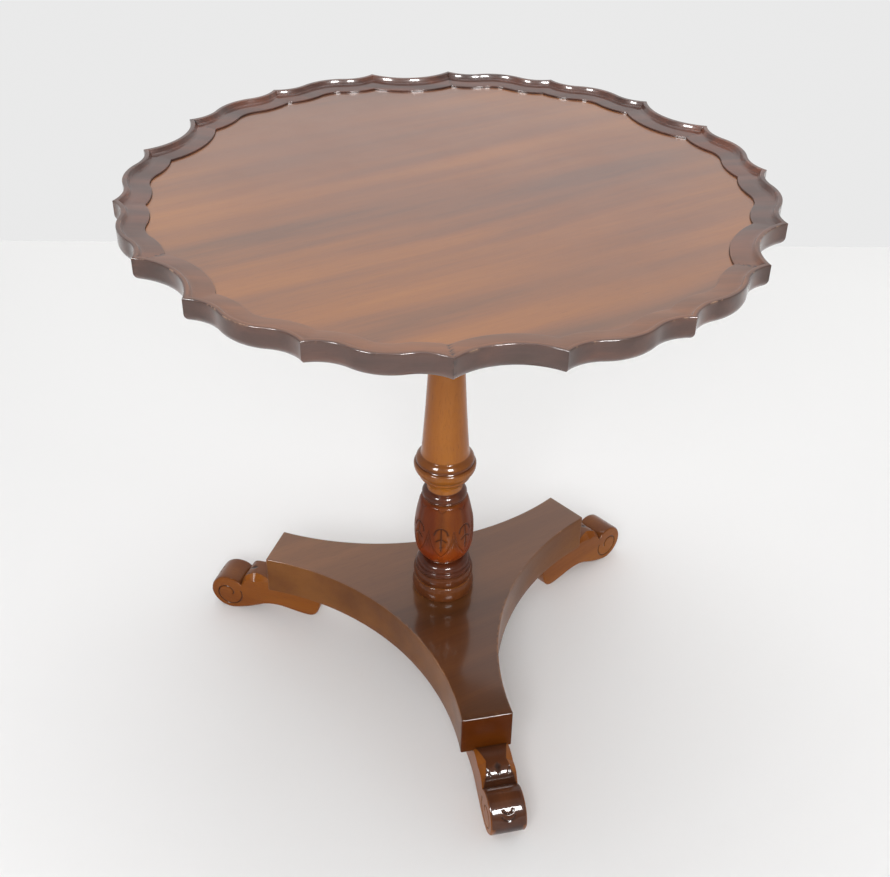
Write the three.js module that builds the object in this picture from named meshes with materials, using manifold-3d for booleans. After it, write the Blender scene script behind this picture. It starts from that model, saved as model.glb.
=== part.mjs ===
// Tilt top table: a pie-crust tray top that tips up on a turned column, with a three-sided
// platform and scroll feet. Millimetres, +Z up, origin on the floor under the column.
// +X runs along the tilt axis and along the grain of the top; the catch is on the +Y side.

import * as THREE from 'three';
import { mergeVertices } from 'three/addons/utils/BufferGeometryUtils.js';
import Module from 'manifold-3d';

const wasm = await Module();
wasm.setup();

const degree = Math.PI / 180;

// ---------------------------------------------------------------- driving sizes

const tableHeight = 636;        // floor to the top of the rim
const fitGap = 0.3;             // between a piece and the hole or neighbour it fits

// top
const topRadius = 330;          // centre to the points of the scallops
const edgeRepeats = 6;          // each repeat is one plain scallop and two bracket scallops
const plainAngle = 16.1 * degree;
const plainDepth = 20.8;        // deepest point of a plain scallop, in from the points
const crownSet = 1.2;           // crown of a bracket scallop, in from the points
const crownRadius = 60;
const hollowRadius = 42;        // the hollows on either side of a crown
const hollowSteps = 3;
const crownSteps = 4;
const plainSteps = 7;
const rimDepth = 24;
const rimWidth = 26.4;
const lipHeight = 8;            // rim above the panel
const lipWidth = 5;
const coveWidth = 4;            // the steep hollow inside the lip
const coveDepth = 4.2;
const rimStep = 2;              // rise from the panel to the rim's inner edge
const edgeRound = 9;            // round under the outside of the rim
const lipRound = 0.8;
const ledgeWidth = 8;           // rim's ledge under the panel
const ledgeThickness = 5;

// tilt block, bearers and pivots
const blockWidth = 140;         // along X
const blockLength = 150;        // along Y
const blockThickness = 30;
const bearerWidth = 25;
const bearerDepth = 32;
const bearerInset = 95;         // scallop points to the ends of the bearers
const bearerSlope = 85;         // length of each sloping end
const bearerEndDepth = 13;
const pivotRadius = 5;
const pivotBite = 30;           // pivot's length inside the block
const pivotHeadRadius = 8.5;
const pivotHeadHeight = 4;
const bearerScrewLength = 29;
const bearerScrewInset = 35;    // bearer's end to its outer screws
const screwCover = 4;           // wood left over a screw's tip

// column, from the platform up: each radius with the height of its part
const columnSides = 32;
const curveSteps = 3;
const columnTenonRadius = 17;   // into the platform
const tenonRecess = 2;          // tenon's end short of the platform's underside
const baseRadius = 36.4;
const lowRingHeight = 10;
const highRingHeight = 9.5;
const shoulderRadius = 34.6;
const shoulderHeight = 25;
const lowNeckRadius = 22.6;
const neckHeight = 3;
const vaseRadius = 35.2;
const vaseLowHeight = 32;       // neck to the fullest part
const vaseHighHeight = 47.5;    // fullest part to the collar
const collarRadius = 28.6;
const collarHeight = 17;
const highNeckRadius = 21.4;
const cupRadius = 35.4;
const cupHeight = 29.5;
const cupLipHeight = 9.5;
const flareHeight = 18;         // from the lip in to the foot of the taper
const taperFootRadius = 27.2;
const taperTopRadius = 16.2;
const capitalRadius = 29;
const capitalHeight = 58;       // taper's top to the tilt block
const blockTenonRadius = 15;    // into the tilt block
const wedgeHalfWidth = 1.6;     // at its thick end
const wedgeLength = 22;
const wedgeTaper = 0.45;        // thin end's share of the thick end
const wedgeInset = 2;           // tenon's round side to the ends of its wedge

// platform and feet
const platformTop = 106;
const platformThickness = 51;
const cornerReach = 225.4;      // column's axis to each corner's flat end
const cornerHalfWidth = 28;
const sideHollow = 54.5;        // depth of the hollow in each side
const footTurn = 12.4 * degree; // first foot's direction from +X
const footSlip = [-7, 0, 5];    // sideways set of each foot on its corner
const footWidth = 40.4;
const footDepth = 38;           // platform to the underside of a foot's tail
const footTailLength = 68.4;    // under the platform
const scrollRadius = 25.3;
const scrollOut = 61.6;         // platform's corner to the middle of a scroll
const scrollTurn = 142 * degree;   // where the scroll's round gives way to the valley
const solePad = 3;              // half the width of the flat under a scroll
const footSteps = 7;
const kneeRise = 8;             // knee above the platform's underside
const footScrewSpots = [24, 50];   // from the tail's end
const footScrewLength = 52;
const footScrewSink = 10;

// catch
const strikeWidth = 40;
const strikeHeight = 20;
const strikeThickness = 1.5;
const strikeScrewSpread = 15;
const boltWidth = 12;
const boltHeight = 6;
const boltLength = 50;
const boltTravel = 9;
const boltDrop = 8;             // panel's underside to the top of the bolt
const boltRetreat = 1.5;        // drawn bolt's nose to the strike plate
const caseGap = 3.5;            // strike plate to the case
const caseLength = 56;
const caseWidth = 20;
const caseFloor = 2.2;          // below the bolt
const flangeWidth = 44;
const flangeThickness = 1.5;
const flangeScrewX = 16;
const flangeScrewInset = 9;
const knobRadius = 6;
const knobHeight = 7;
const knobNeckRadius = 2.5;
const knobSet = 30;             // knob's centre behind the bolt's nose
const knobClearance = 2;        // case to the knob's face
const knobEase = 1.2;           // eased edges of the knob
const springLength = 28;
const springWidth = 8;
const springThickness = 0.5;
const springRise = 1.3;
const mortiseSpare = 3;         // mortise beyond the shot bolt's nose

// screws: shank radius, head radius and head height
const woodScrew = { shank: 2.2, head: 4.2, headHeight: 2.6 };
const footScrew = { shank: 2.6, head: 5.2, headHeight: 3.2 };
const brassScrew = { shank: 1.6, head: 3.2, headHeight: 2 };
const brassScrewLength = 11;
const screwSides = 8;
const holeSides = 10;
const pinSides = 16;
const through = 1;              // how far a cutting shape runs past the face it opens

// ---------------------------------------------------------------- heights worked out from these

const panelThickness = rimDepth - lipHeight;
const undersideZ = tableHeight - rimDepth;
const blockTop = undersideZ - fitGap;
const blockBottom = blockTop - blockThickness;
const pivotZ = blockTop - blockThickness / 2;
const pivotY = -(blockLength - blockThickness) / 2;
const platformBottom = platformTop - platformThickness;
const bearerX = blockWidth / 2 + 2 * fitGap + bearerWidth / 2;
const bearerHalf = topRadius - bearerInset;
const scrollReach = cornerReach + scrollOut;
const footTail = cornerReach - footTailLength;
const strikeFront = blockLength / 2 + strikeThickness;
const boltTop = undersideZ - boltDrop;
const boltMidZ = boltTop - boltHeight / 2;
const boltNose = strikeFront + boltRetreat;
const caseFront = strikeFront + caseGap;
const knobY = boltNose + knobSet;
const springY = caseFront + caseLength / 2;

// ---------------------------------------------------------------- materials

function wood(color, roughness) {
  return new THREE.MeshStandardMaterial({ color, roughness, metalness: 0 });
}

const panelWood = wood(0x8a4f33, 0.3);
const rimWood = wood(0x4f3128, 0.3);
const turnedWood = wood(0x96501f, 0.25);
const platformWood = wood(0x74452a, 0.35);
const hiddenWood = wood(0x9a6a45, 0.6);
const brass = new THREE.MeshStandardMaterial({ color: 0xb08d4a, roughness: 0.35, metalness: 1 });
const steel = new THREE.MeshStandardMaterial({ color: 0x8d8d8f, roughness: 0.4, metalness: 1 });

// ---------------------------------------------------------------- helpers

function named(name, geometry, material) {
  const mesh = new THREE.Mesh(geometry, material);
  mesh.name = name;
  return mesh;
}

// Closed geometry from points and triangles, turned so that its faces point outwards.
function closedGeometry(points, triangles) {
  let volume = 0;
  for (const [a, b, c] of triangles) {
    volume += points[a].dot(new THREE.Vector3().crossVectors(points[b], points[c]));
  }
  const ordered = volume > 0 ? triangles : triangles.map(([a, b, c]) => [a, c, b]);
  const geometry = new THREE.BufferGeometry();
  const values = points.flatMap((point) => point.toArray());
  geometry.setAttribute('position', new THREE.Float32BufferAttribute(values, 3));
  geometry.setIndex(ordered.flat());
  return geometry;
}

// Manifold of a closed geometry, with its shared corners merged and collapsed triangles left out.
function toManifold(geometry) {
  const bare = geometry.clone();
  bare.deleteAttribute('normal');
  bare.deleteAttribute('uv');
  const merged = mergeVertices(bare, 1e-4);
  const index = merged.index.array;
  const kept = [];
  for (let i = 0; i < index.length; i += 3) {
    const [a, b, c] = [index[i], index[i + 1], index[i + 2]];
    if (a !== b && b !== c && c !== a) kept.push(a, b, c);
  }
  return new wasm.Manifold(new wasm.Mesh({
    numProp: 3,
    vertProperties: new Float32Array(merged.attributes.position.array),
    triVerts: new Uint32Array(kept),
  }));
}

function fromManifold(manifold) {
  const mesh = manifold.getMesh();
  const geometry = new THREE.BufferGeometry();
  geometry.setAttribute('position', new THREE.BufferAttribute(mesh.vertProperties, 3));
  geometry.setIndex(new THREE.BufferAttribute(mesh.triVerts, 1));
  return geometry;
}

function cut(geometry, tools) {
  const subtract = (body, tool) => body.subtract(toManifold(tool));
  return fromManifold(tools.reduce(subtract, toManifold(geometry)));
}

function join(geometry, others) {
  const add = (body, other) => body.add(toManifold(other));
  return fromManifold(others.reduce(add, toManifold(geometry)));
}

// Box given by its lowest and highest corners.
function box(low, high) {
  const [sx, sy, sz] = high.map((value, i) => value - low[i]);
  const centre = high.map((value, i) => (value + low[i]) / 2);
  return new THREE.BoxGeometry(sx, sy, sz).translate(...centre);
}

// Flat outline drawn in Y and Z, carried from x = low to x = high.
function extrudeAlongX(outline, low, high) {
  const shape = new THREE.Shape(outline);
  const geometry = new THREE.ExtrudeGeometry(shape, { depth: high - low, bevelEnabled: false });
  const turn = new THREE.Matrix4().makeBasis(
    new THREE.Vector3(0, 1, 0), new THREE.Vector3(0, 0, 1), new THREE.Vector3(1, 0, 0));
  return geometry.applyMatrix4(turn).translate(low, 0, 0);
}

// Round pin or hole from one point to another.
function rod(radius, start, end, sides) {
  const axis = end.clone().sub(start);
  const geometry = new THREE.CylinderGeometry(radius, radius, axis.length(), sides);
  const ownAxis = new THREE.Vector3(0, 1, 0);
  const turn = new THREE.Quaternion().setFromUnitVectors(ownAxis, axis.clone().normalize());
  const middle = start.clone().add(end).divideScalar(2);
  return geometry.applyQuaternion(turn).translate(middle.x, middle.y, middle.z);
}

function polar(radius, angle) {
  return new THREE.Vector2(radius * Math.cos(angle), radius * Math.sin(angle));
}

// Points along an arc, both ends included.
function arcPoints(centre, radius, from, to, steps) {
  return Array.from({ length: steps + 1 }, (_, i) =>
    polar(radius, from + (to - from) * i / steps).add(centre));
}

// ---------------------------------------------------------------- screws

// Countersunk screw along -Z with the flat of its head at z = 0.
function screwGeometry(size, length) {
  const tip = size.shank * 2;
  const profile = [
    [0, -length], [size.shank * 0.3, -length], [size.shank, tip - length],
    [size.shank, -size.headHeight], [size.head, -0.3], [size.head, 0], [0, 0],
  ].map(([r, z]) => new THREE.Vector2(r, z));
  const body = new THREE.LatheGeometry(profile, screwSides).rotateX(Math.PI / 2);
  const slotDepth = size.headHeight * 0.4;
  const slotHalf = size.head * 0.12;
  const slot = box([-2 * size.head, -slotHalf, -slotDepth], [2 * size.head, slotHalf, 1]);
  return cut(body, [slot]);
}

// Room for that screw, open above the head.
function screwHole(size, length, open) {
  const shank = size.shank + fitGap;
  const head = size.head + fitGap;
  const profile = [
    [0, -length - fitGap], [shank, -length - fitGap], [shank, -size.headHeight - fitGap],
    [head, -fitGap], [head, open], [0, open],
  ].map(([r, z]) => new THREE.Vector2(r, z));
  return new THREE.LatheGeometry(profile, holeSides).rotateX(Math.PI / 2);
}

// Turn that sends the screw's own -Z along the way it is driven.
function drivenTurn(way) {
  return new THREE.Quaternion().setFromUnitVectors(new THREE.Vector3(0, 0, -1), way);
}

function placedScrew(name, size, length, head, way, material) {
  const mesh = named(name, screwGeometry(size, length), material);
  mesh.position.copy(head);
  mesh.quaternion.copy(drivenTurn(way));
  return mesh;
}

function placedHole(size, length, open, head, way) {
  const hole = screwHole(size, length, open).applyQuaternion(drivenTurn(way));
  return hole.translate(head.x, head.y, head.z);
}

const up = new THREE.Vector3(0, 0, 1);

// ---------------------------------------------------------------- edge of the top

// Where two circles cross, the crossing nearer to or further from the table's centre.
function circleCross(c0, r0, c1, r1, further) {
  const line = c1.clone().sub(c0);
  const span = line.length();
  const along = (span ** 2 + r0 ** 2 - r1 ** 2) / (2 * span);
  const across = Math.sqrt(Math.max(0, r0 ** 2 - along ** 2));
  line.normalize();
  const foot = c0.clone().addScaledVector(line, along);
  const side = new THREE.Vector2(-line.y, line.x).multiplyScalar(across);
  const pair = [foot.clone().add(side), foot.clone().sub(side)];
  pair.sort((a, b) => a.length() - b.length());
  return pair[further ? 1 : 0];
}

function arcBetween(centre, start, end, grows, steps) {
  return { centre, start, end, grows, steps, radius: centre.distanceTo(start) };
}

function plainScallop(start) {
  const half = plainAngle / 2;
  const chord = topRadius * Math.sin(half);
  const sag = plainDepth - topRadius * (1 - Math.cos(half));
  const radius = (chord ** 2 + sag ** 2) / (2 * sag);
  const centre = polar(topRadius - plainDepth + radius, start + half);
  const ends = [polar(topRadius, start), polar(topRadius, start + plainAngle)];
  return [arcBetween(centre, ...ends, 1, plainSteps)];
}

// Hollow, crown, hollow, each running smoothly into the next.
function bracketScallop(start, angle) {
  const middle = start + angle / 2;
  const crown = polar(topRadius - crownSet - crownRadius, middle);
  const reach = crownRadius + hollowRadius;
  const ends = [polar(topRadius, start), polar(topRadius, start + angle)];
  const hollows = ends.map((end) => circleCross(crown, reach, end, hollowRadius, true));
  const turns = hollows.map((hollow) => crown.clone().lerp(hollow, crownRadius / reach));
  return [
    arcBetween(hollows[0], ends[0], turns[0], 1, hollowSteps),
    arcBetween(crown, turns[0], turns[1], -1, crownSteps),
    arcBetween(hollows[1], turns[1], ends[1], 1, hollowSteps),
  ];
}

const repeatAngle = 2 * Math.PI / edgeRepeats;
const bracketAngle = (repeatAngle - plainAngle) / 2;

const edgeArcs = [];
for (let k = 0; k < edgeRepeats; k++) {
  const start = k * repeatAngle;
  edgeArcs.push(...plainScallop(start));
  edgeArcs.push(...bracketScallop(start + plainAngle, bracketAngle));
  edgeArcs.push(...bracketScallop(start + plainAngle + bracketAngle, bracketAngle));
}
const arcsPerRepeat = edgeArcs.length / edgeRepeats;

// Drawn in by a depth, a hollow's radius grows and a crown's shrinks. Two scallops meet where
// their drawn-in hollows cross; a hollow and a crown meet on the line through their centres.
function drawnIn(arc, depth) {
  return arc.radius + arc.grows * depth;
}

function meeting(arc, next, depth) {
  if (arc.grows > 0 && next.grows > 0) {
    return circleCross(arc.centre, drawnIn(arc, depth), next.centre, drawnIn(next, depth), false);
  }
  const way = arc.end.clone().sub(arc.centre).normalize();
  return arc.centre.clone().addScaledVector(way, drawnIn(arc, depth));
}

// Points of one arc drawn in by a depth; trims shorten it at either end, measured along the arc.
function arcLine(index, depth, startTrim, endTrim) {
  const count = edgeArcs.length;
  const arc = edgeArcs[index % count];
  const before = edgeArcs[(index + count - 1) % count];
  const after = edgeArcs[(index + 1) % count];
  const radius = drawnIn(arc, depth);
  const start = meeting(before, arc, depth).sub(arc.centre).angle();
  const end = meeting(arc, after, depth).sub(arc.centre).angle();
  const turn = THREE.MathUtils.euclideanModulo(end - start + Math.PI, 2 * Math.PI) - Math.PI;
  const sense = Math.sign(turn);
  const from = start + sense * startTrim / radius;
  const to = start + turn - sense * endTrim / radius;
  return arcPoints(arc.centre, radius, from, to, arc.steps);
}

// The whole edge as a closed line, each corner once.
function edgeLine(depth) {
  return edgeArcs.flatMap((_, index) => arcLine(index, depth, 0, 0).slice(0, -1));
}

// One repeat of the edge as an open line, held back at both ends for the glue joint.
function repeatLine(repeat, depth) {
  const line = [];
  for (let i = 0; i < arcsPerRepeat; i++) {
    const first = i === 0;
    const last = i === arcsPerRepeat - 1;
    const trims = [first ? fitGap / 2 : 0, last ? fitGap / 2 : 0];
    const points = arcLine(repeat * arcsPerRepeat + i, depth, ...trims);
    line.push(...(first ? points : points.slice(1)));
  }
  return line;
}

// ---------------------------------------------------------------- top

// Section of the rim as [depth in from the edge, height above the underside].
function rimSection() {
  const coveEnd = lipWidth + coveWidth;
  const corner = new THREE.Vector2(edgeRound, edgeRound);
  const underRound = arcPoints(corner, edgeRound, -Math.PI / 2, -Math.PI, 3);
  const cove = new THREE.QuadraticBezierCurve(
    new THREE.Vector2(lipWidth, rimDepth),
    new THREE.Vector2(lipWidth + coveWidth * 0.2, rimDepth - coveDepth * 0.85),
    new THREE.Vector2(coveEnd, rimDepth - coveDepth));
  return [
    ...underRound,
    new THREE.Vector2(0, rimDepth - lipRound),
    new THREE.Vector2(lipRound, rimDepth),
    ...cove.getPoints(2),
    new THREE.Vector2(rimWidth, panelThickness + rimStep),
    new THREE.Vector2(rimWidth, ledgeThickness),
    new THREE.Vector2(rimWidth + ledgeWidth, ledgeThickness),
    new THREE.Vector2(rimWidth + ledgeWidth, 0),
  ];
}

function rimSegment(repeat) {
  const section = rimSection();
  const lines = section.map((corner) => repeatLine(repeat, corner.x));
  const stations = lines[0].length;
  const width = section.length;
  const points = [];
  for (let s = 0; s < stations; s++) {
    section.forEach((corner, j) => {
      points.push(new THREE.Vector3(lines[j][s].x, lines[j][s].y, corner.y));
    });
  }
  const triangles = [];
  for (let s = 0; s + 1 < stations; s++) {
    for (let j = 0; j < width; j++) {
      const a = s * width + j;
      const b = s * width + (j + 1) % width;
      triangles.push([a, b, b + width], [a, b + width, a + width]);
    }
  }
  const last = (stations - 1) * width;
  for (const [a, b, c] of THREE.ShapeUtils.triangulateShape(section, [])) {
    triangles.push([a, c, b], [last + a, last + b, last + c]);
  }
  const geometry = closedGeometry(points, orientCaps(points, triangles));
  const mesh = named(`rim_segment_${repeat + 1}`, geometry, rimWood);
  mesh.position.z = undersideZ;
  return mesh;
}

// Turns cap triangles that disagree with the walls they share an edge with.
function orientCaps(points, triangles) {
  const edges = new Set();
  const key = (a, b) => a * points.length + b;
  return triangles.map(([a, b, c]) => {
    const clash = [[a, b], [b, c], [c, a]].some(([p, q]) => edges.has(key(p, q)));
    const face = clash ? [a, c, b] : [a, b, c];
    const [p, q, r] = face;
    edges.add(key(p, q)).add(key(q, r)).add(key(r, p));
    return face;
  });
}

// Screw places under the top as [x, y], for the bearers.
function bearerScrewSpots(side) {
  const outer = bearerHalf - bearerScrewInset;
  return [-outer, 2 * pivotY, -pivotY, outer].map((y) => new THREE.Vector2(side * bearerX, y));
}

// Head of a bearer screw: sunk so that the tip stops short of the panel's face.
const bearerScrewHead = undersideZ + panelThickness - screwCover - bearerScrewLength;

function bearerScrewHole(spot) {
  const head = new THREE.Vector3(spot.x, spot.y, bearerScrewHead);
  return placedHole(woodScrew, bearerScrewLength, bearerDepth, head, up);
}

const flangeScrewSpots = [];
for (const x of [-flangeScrewX, flangeScrewX]) {
  for (const y of [caseFront + flangeScrewInset, caseFront + caseLength - flangeScrewInset]) {
    flangeScrewSpots.push(new THREE.Vector2(x, y));
  }
}

function flangeScrewHole(spot) {
  const head = new THREE.Vector3(spot.x, spot.y, undersideZ - flangeThickness);
  return placedHole(brassScrew, brassScrewLength, flangeThickness, head, up);
}

function topPanel() {
  const edge = rimWidth + fitGap;
  const rebate = edge + ledgeWidth;
  const bands = [
    [edge, panelThickness], [edge, ledgeThickness], [rebate, ledgeThickness], [rebate, 0],
  ];
  const points = [];
  for (const [depth, height] of bands) {
    edgeLine(depth).forEach((p) => points.push(new THREE.Vector3(p.x, p.y, height + undersideZ)));
  }
  const count = points.length / bands.length;
  const triangles = [];
  for (let band = 0; band + 1 < bands.length; band++) {
    for (let i = 0; i < count; i++) {
      const a = band * count + i;
      const b = band * count + (i + 1) % count;
      triangles.push([a, a + count, b + count], [a, b + count, b]);
    }
  }
  const topCentre = points.push(new THREE.Vector3(0, 0, tableHeight - lipHeight)) - 1;
  const lowCentre = points.push(new THREE.Vector3(0, 0, undersideZ)) - 1;
  const lowest = (bands.length - 1) * count;
  for (let i = 0; i < count; i++) {
    const next = (i + 1) % count;
    triangles.push([topCentre, i, next], [lowCentre, lowest + next, lowest + i]);
  }
  const spots = [...bearerScrewSpots(-1), ...bearerScrewSpots(1)];
  const holes = [...spots.map(bearerScrewHole), ...flangeScrewSpots.map(flangeScrewHole)];
  return named('top_panel', cut(closedGeometry(points, triangles), holes), panelWood);
}

function bearer(name, side) {
  const flat = bearerHalf - bearerSlope;
  const outline = [
    [-bearerHalf, 0], [bearerHalf, 0], [bearerHalf, -bearerEndDepth], [flat, -bearerDepth],
    [-flat, -bearerDepth], [-bearerHalf, -bearerEndDepth],
  ].map(([y, z]) => new THREE.Vector2(y, z + undersideZ));
  const middle = side * bearerX;
  const body = extrudeAlongX(outline, middle - bearerWidth / 2, middle + bearerWidth / 2);
  const bore = rod(pivotRadius + fitGap, new THREE.Vector3(middle - bearerWidth, pivotY, pivotZ),
    new THREE.Vector3(middle + bearerWidth, pivotY, pivotZ), pinSides);
  return named(name, cut(body, [bore, ...bearerScrewSpots(side).map(bearerScrewHole)]), hiddenWood);
}

// ---------------------------------------------------------------- tilt block and pivots

function strikeScrewHeads() {
  return [-strikeScrewSpread, strikeScrewSpread].map((x) => new THREE.Vector3(x, strikeFront, boltMidZ));
}

const inward = new THREE.Vector3(0, -1, 0);

function strikeScrewHole(head) {
  return placedHole(brassScrew, brassScrewLength, strikeThickness, head, inward);
}

// Room for the bolt in the strike plate and the block behind it.
function boltMortise() {
  const halfX = boltWidth / 2 + 2 * fitGap;
  const halfZ = boltHeight / 2 + 2 * fitGap;
  const deepest = boltNose - boltTravel - mortiseSpare;
  return box([-halfX, deepest, boltMidZ - halfZ], [halfX, strikeFront + through, boltMidZ + halfZ]);
}

// The pivot edge is rounded above the pivots, so that the top can turn past it, and square
// below them, so that the top stops against it when it is upright.
function tiltBlock() {
  const round = blockThickness / 2;
  const front = blockLength / 2;
  const outline = [
    new THREE.Vector2(front, blockBottom),
    new THREE.Vector2(front, blockTop),
    ...arcPoints(new THREE.Vector2(pivotY, pivotZ), round, Math.PI / 2, Math.PI, 8),
    new THREE.Vector2(-front, blockBottom),
  ];
  const body = extrudeAlongX(outline, -blockWidth / 2, blockWidth / 2);
  const tenonHole = rod(blockTenonRadius + fitGap, new THREE.Vector3(0, 0, blockBottom - through),
    new THREE.Vector3(0, 0, blockTop + through), columnSides);
  const pinHoles = [-1, 1].map((side) => rod(pivotRadius + fitGap,
    new THREE.Vector3(side * (blockWidth / 2 - pivotBite - fitGap), pivotY, pivotZ),
    new THREE.Vector3(side * (blockWidth / 2 + through), pivotY, pivotZ), pinSides));
  const holes = [tenonHole, ...pinHoles, boltMortise(), ...strikeScrewHeads().map(strikeScrewHole)];
  return named('tilt_block', cut(body, holes), hiddenWood);
}

// Steel pivot driven into the block, with the bearer free to turn on it.
function pivotPin(name, side) {
  const shank = pivotBite + 2 * fitGap + bearerWidth + fitGap;
  const profile = [
    [0, 0], [pivotRadius - 1, 0], [pivotRadius, 1], [pivotRadius, shank], [pivotHeadRadius, shank],
    [pivotHeadRadius, shank + pivotHeadHeight * 0.5], [pivotHeadRadius * 0.75, shank + pivotHeadHeight],
    [0, shank + pivotHeadHeight],
  ].map(([r, z]) => new THREE.Vector2(r, z));
  const mesh = named(name, new THREE.LatheGeometry(profile, pinSides), steel);
  mesh.position.set(side * (blockWidth / 2 - pivotBite), pivotY, pivotZ);
  mesh.rotation.z = -side * Math.PI / 2;
  return mesh;
}

// ---------------------------------------------------------------- column

// Profile drawn from the axis out, each step rising from the last.
class Turning {
  constructor(start) {
    this.path = new THREE.Path();
    this.path.moveTo(0, start);
    this.z = start;
  }

  to(radius, rise = 0) {
    this.z += rise;
    this.path.lineTo(radius, this.z);
    return this;
  }

  // Curve to a radius and rise, bending at the corner given.
  sweep(cornerRadius, cornerRise, radius, rise) {
    this.path.quadraticCurveTo(cornerRadius, this.z + cornerRise, radius, this.z + rise);
    this.z += rise;
    return this;
  }

  // Round bead that stands out by a bulge at its middle.
  bead(bulge, radius, rise) {
    const middle = (this.path.currentPoint.x + radius) / 2;
    return this.sweep(middle + 2 * bulge, rise / 2, radius, rise);
  }
}

// Base rings, domed shoulder, vase, capped collar, cup and lip, long taper, flared capital.
function columnProfile() {
  const turning = new Turning(platformBottom + tenonRecess);
  turning.to(columnTenonRadius).to(columnTenonRadius, platformThickness - tenonRecess);
  turning.to(baseRadius).bead(1.6, baseRadius - 0.8, lowRingHeight);
  turning.to(baseRadius - 1.4, 0.5).bead(1.8, baseRadius - 2.2, highRingHeight - 0.5);
  turning.to(shoulderRadius - 1.2, 0.5).to(shoulderRadius, 1.5);
  turning.sweep(shoulderRadius + 1.4, 0.72 * shoulderHeight, lowNeckRadius, shoulderHeight);
  turning.to(lowNeckRadius, neckHeight);
  turning.sweep(vaseRadius - 1.6, 0.22 * vaseLowHeight, vaseRadius, vaseLowHeight);
  turning.sweep(vaseRadius + 1.4, vaseHighHeight / 2, collarRadius - 1.2, vaseHighHeight);
  turning.to(collarRadius, 1.5).to(collarRadius - 0.6, 2.5);
  turning.sweep(collarRadius - 2, 0.76 * collarHeight, highNeckRadius, collarHeight - 2.5);
  turning.to(highNeckRadius, neckHeight);
  turning.sweep(cupRadius - 8.4, 0.14 * cupHeight, cupRadius - 4, 0.44 * cupHeight);
  turning.sweep(cupRadius, 0.27 * cupHeight, cupRadius, 0.56 * cupHeight);
  turning.to(cupRadius - 1, 1).bead(1.2, cupRadius - 0.6, cupLipHeight - 1);
  turning.sweep(taperFootRadius + 0.8, 0.22 * flareHeight, taperFootRadius, flareHeight);
  const taper = blockBottom - capitalHeight - turning.z;
  const bend = taperFootRadius + 0.61 * (taperTopRadius - taperFootRadius);
  turning.sweep(bend, 0.385 * taper, taperTopRadius, taper);
  turning.bead(2.4, taperTopRadius + 0.4, 0.14 * capitalHeight);
  turning.sweep(taperTopRadius + 0.8, 0.52 * capitalHeight, capitalRadius - 1.5, 0.62 * capitalHeight);
  turning.to(capitalRadius, 0.03 * capitalHeight).to(capitalRadius, 0.21 * capitalHeight);
  turning.to(blockTenonRadius).to(blockTenonRadius, blockThickness - fitGap).to(0);
  return turning.path.getPoints(curveSteps);
}

// Wedge across a tenon: thick end at z = 0, thin end up.
function wedgeGeometry(halfWidth, length, halfSpan) {
  const thin = halfWidth * wedgeTaper;
  const outline = [[-halfWidth, 0], [halfWidth, 0], [thin, length], [-thin, length]]
    .map(([y, z]) => new THREE.Vector2(y, z));
  return extrudeAlongX(outline, -halfSpan, halfSpan);
}

function column() {
  const body = new THREE.LatheGeometry(columnProfile(), columnSides).rotateX(Math.PI / 2);
  const kerf = () => wedgeGeometry(wedgeHalfWidth + fitGap, wedgeLength + fitGap, 2 * columnTenonRadius);
  const lowKerf = kerf().translate(0, 0, platformBottom + tenonRecess);
  const highKerf = kerf().rotateX(Math.PI).translate(0, 0, blockTop - fitGap);
  return named('column', cut(body, [lowKerf, highKerf]), turnedWood);
}

function tenonWedge(name, tenonRadius) {
  const geometry = wedgeGeometry(wedgeHalfWidth, wedgeLength, tenonRadius - wedgeInset);
  return named(name, geometry, hiddenWood);
}

function wedges() {
  const low = tenonWedge('bottom_wedge', columnTenonRadius);
  low.position.z = platformBottom + tenonRecess;
  const high = tenonWedge('top_wedge', blockTenonRadius);
  high.position.z = blockTop - fitGap;
  high.rotation.x = Math.PI;
  return [low, high];
}

// ---------------------------------------------------------------- platform and feet

function footAngle(index) {
  return footTurn + index * 2 * Math.PI / 3;
}

// Three flat-ended corners joined by hollow sides.
function platformOutline() {
  const outline = [];
  const corner = (index, side) => new THREE.Vector2(cornerReach, side * cornerHalfWidth)
    .rotateAround(new THREE.Vector2(), footAngle(index));
  for (let k = 0; k < 3; k++) {
    const start = corner(k, 1);
    const end = corner(k + 1, -1);
    const middle = start.clone().add(end).divideScalar(2);
    const chord = start.distanceTo(end) / 2;
    const radius = (chord ** 2 + sideHollow ** 2) / (2 * sideHollow);
    const centre = middle.clone().setLength(middle.length() + radius - sideHollow);
    const from = start.clone().sub(centre).angle();
    const turn = -2 * Math.asin(chord / radius);
    outline.push(corner(k, -1), ...arcPoints(centre, radius, from, from + turn, 12));
  }
  return outline;
}

function footScrewHead(index, spot) {
  return new THREE.Vector3(footTail + spot, footSlip[index], platformBottom - footDepth + footScrewSink);
}

function footScrewHole(index, spot) {
  const head = footScrewHead(index, spot);
  return placedHole(footScrew, footScrewLength, 2 * footScrewSink, head, up);
}

function platform() {
  const shape = new THREE.Shape(platformOutline());
  const body = new THREE.ExtrudeGeometry(shape, { depth: platformThickness, bevelEnabled: false })
    .translate(0, 0, platformBottom);
  const tenonHole = rod(columnTenonRadius + fitGap, new THREE.Vector3(0, 0, platformBottom - through),
    new THREE.Vector3(0, 0, platformTop + through), columnSides);
  const holes = [tenonHole];
  for (let k = 0; k < 3; k++) {
    footScrewSpots.forEach((spot) => holes.push(footScrewHole(k, spot).rotateZ(footAngle(k))));
  }
  return named('platform', cut(body, holes), platformWood);
}

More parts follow.
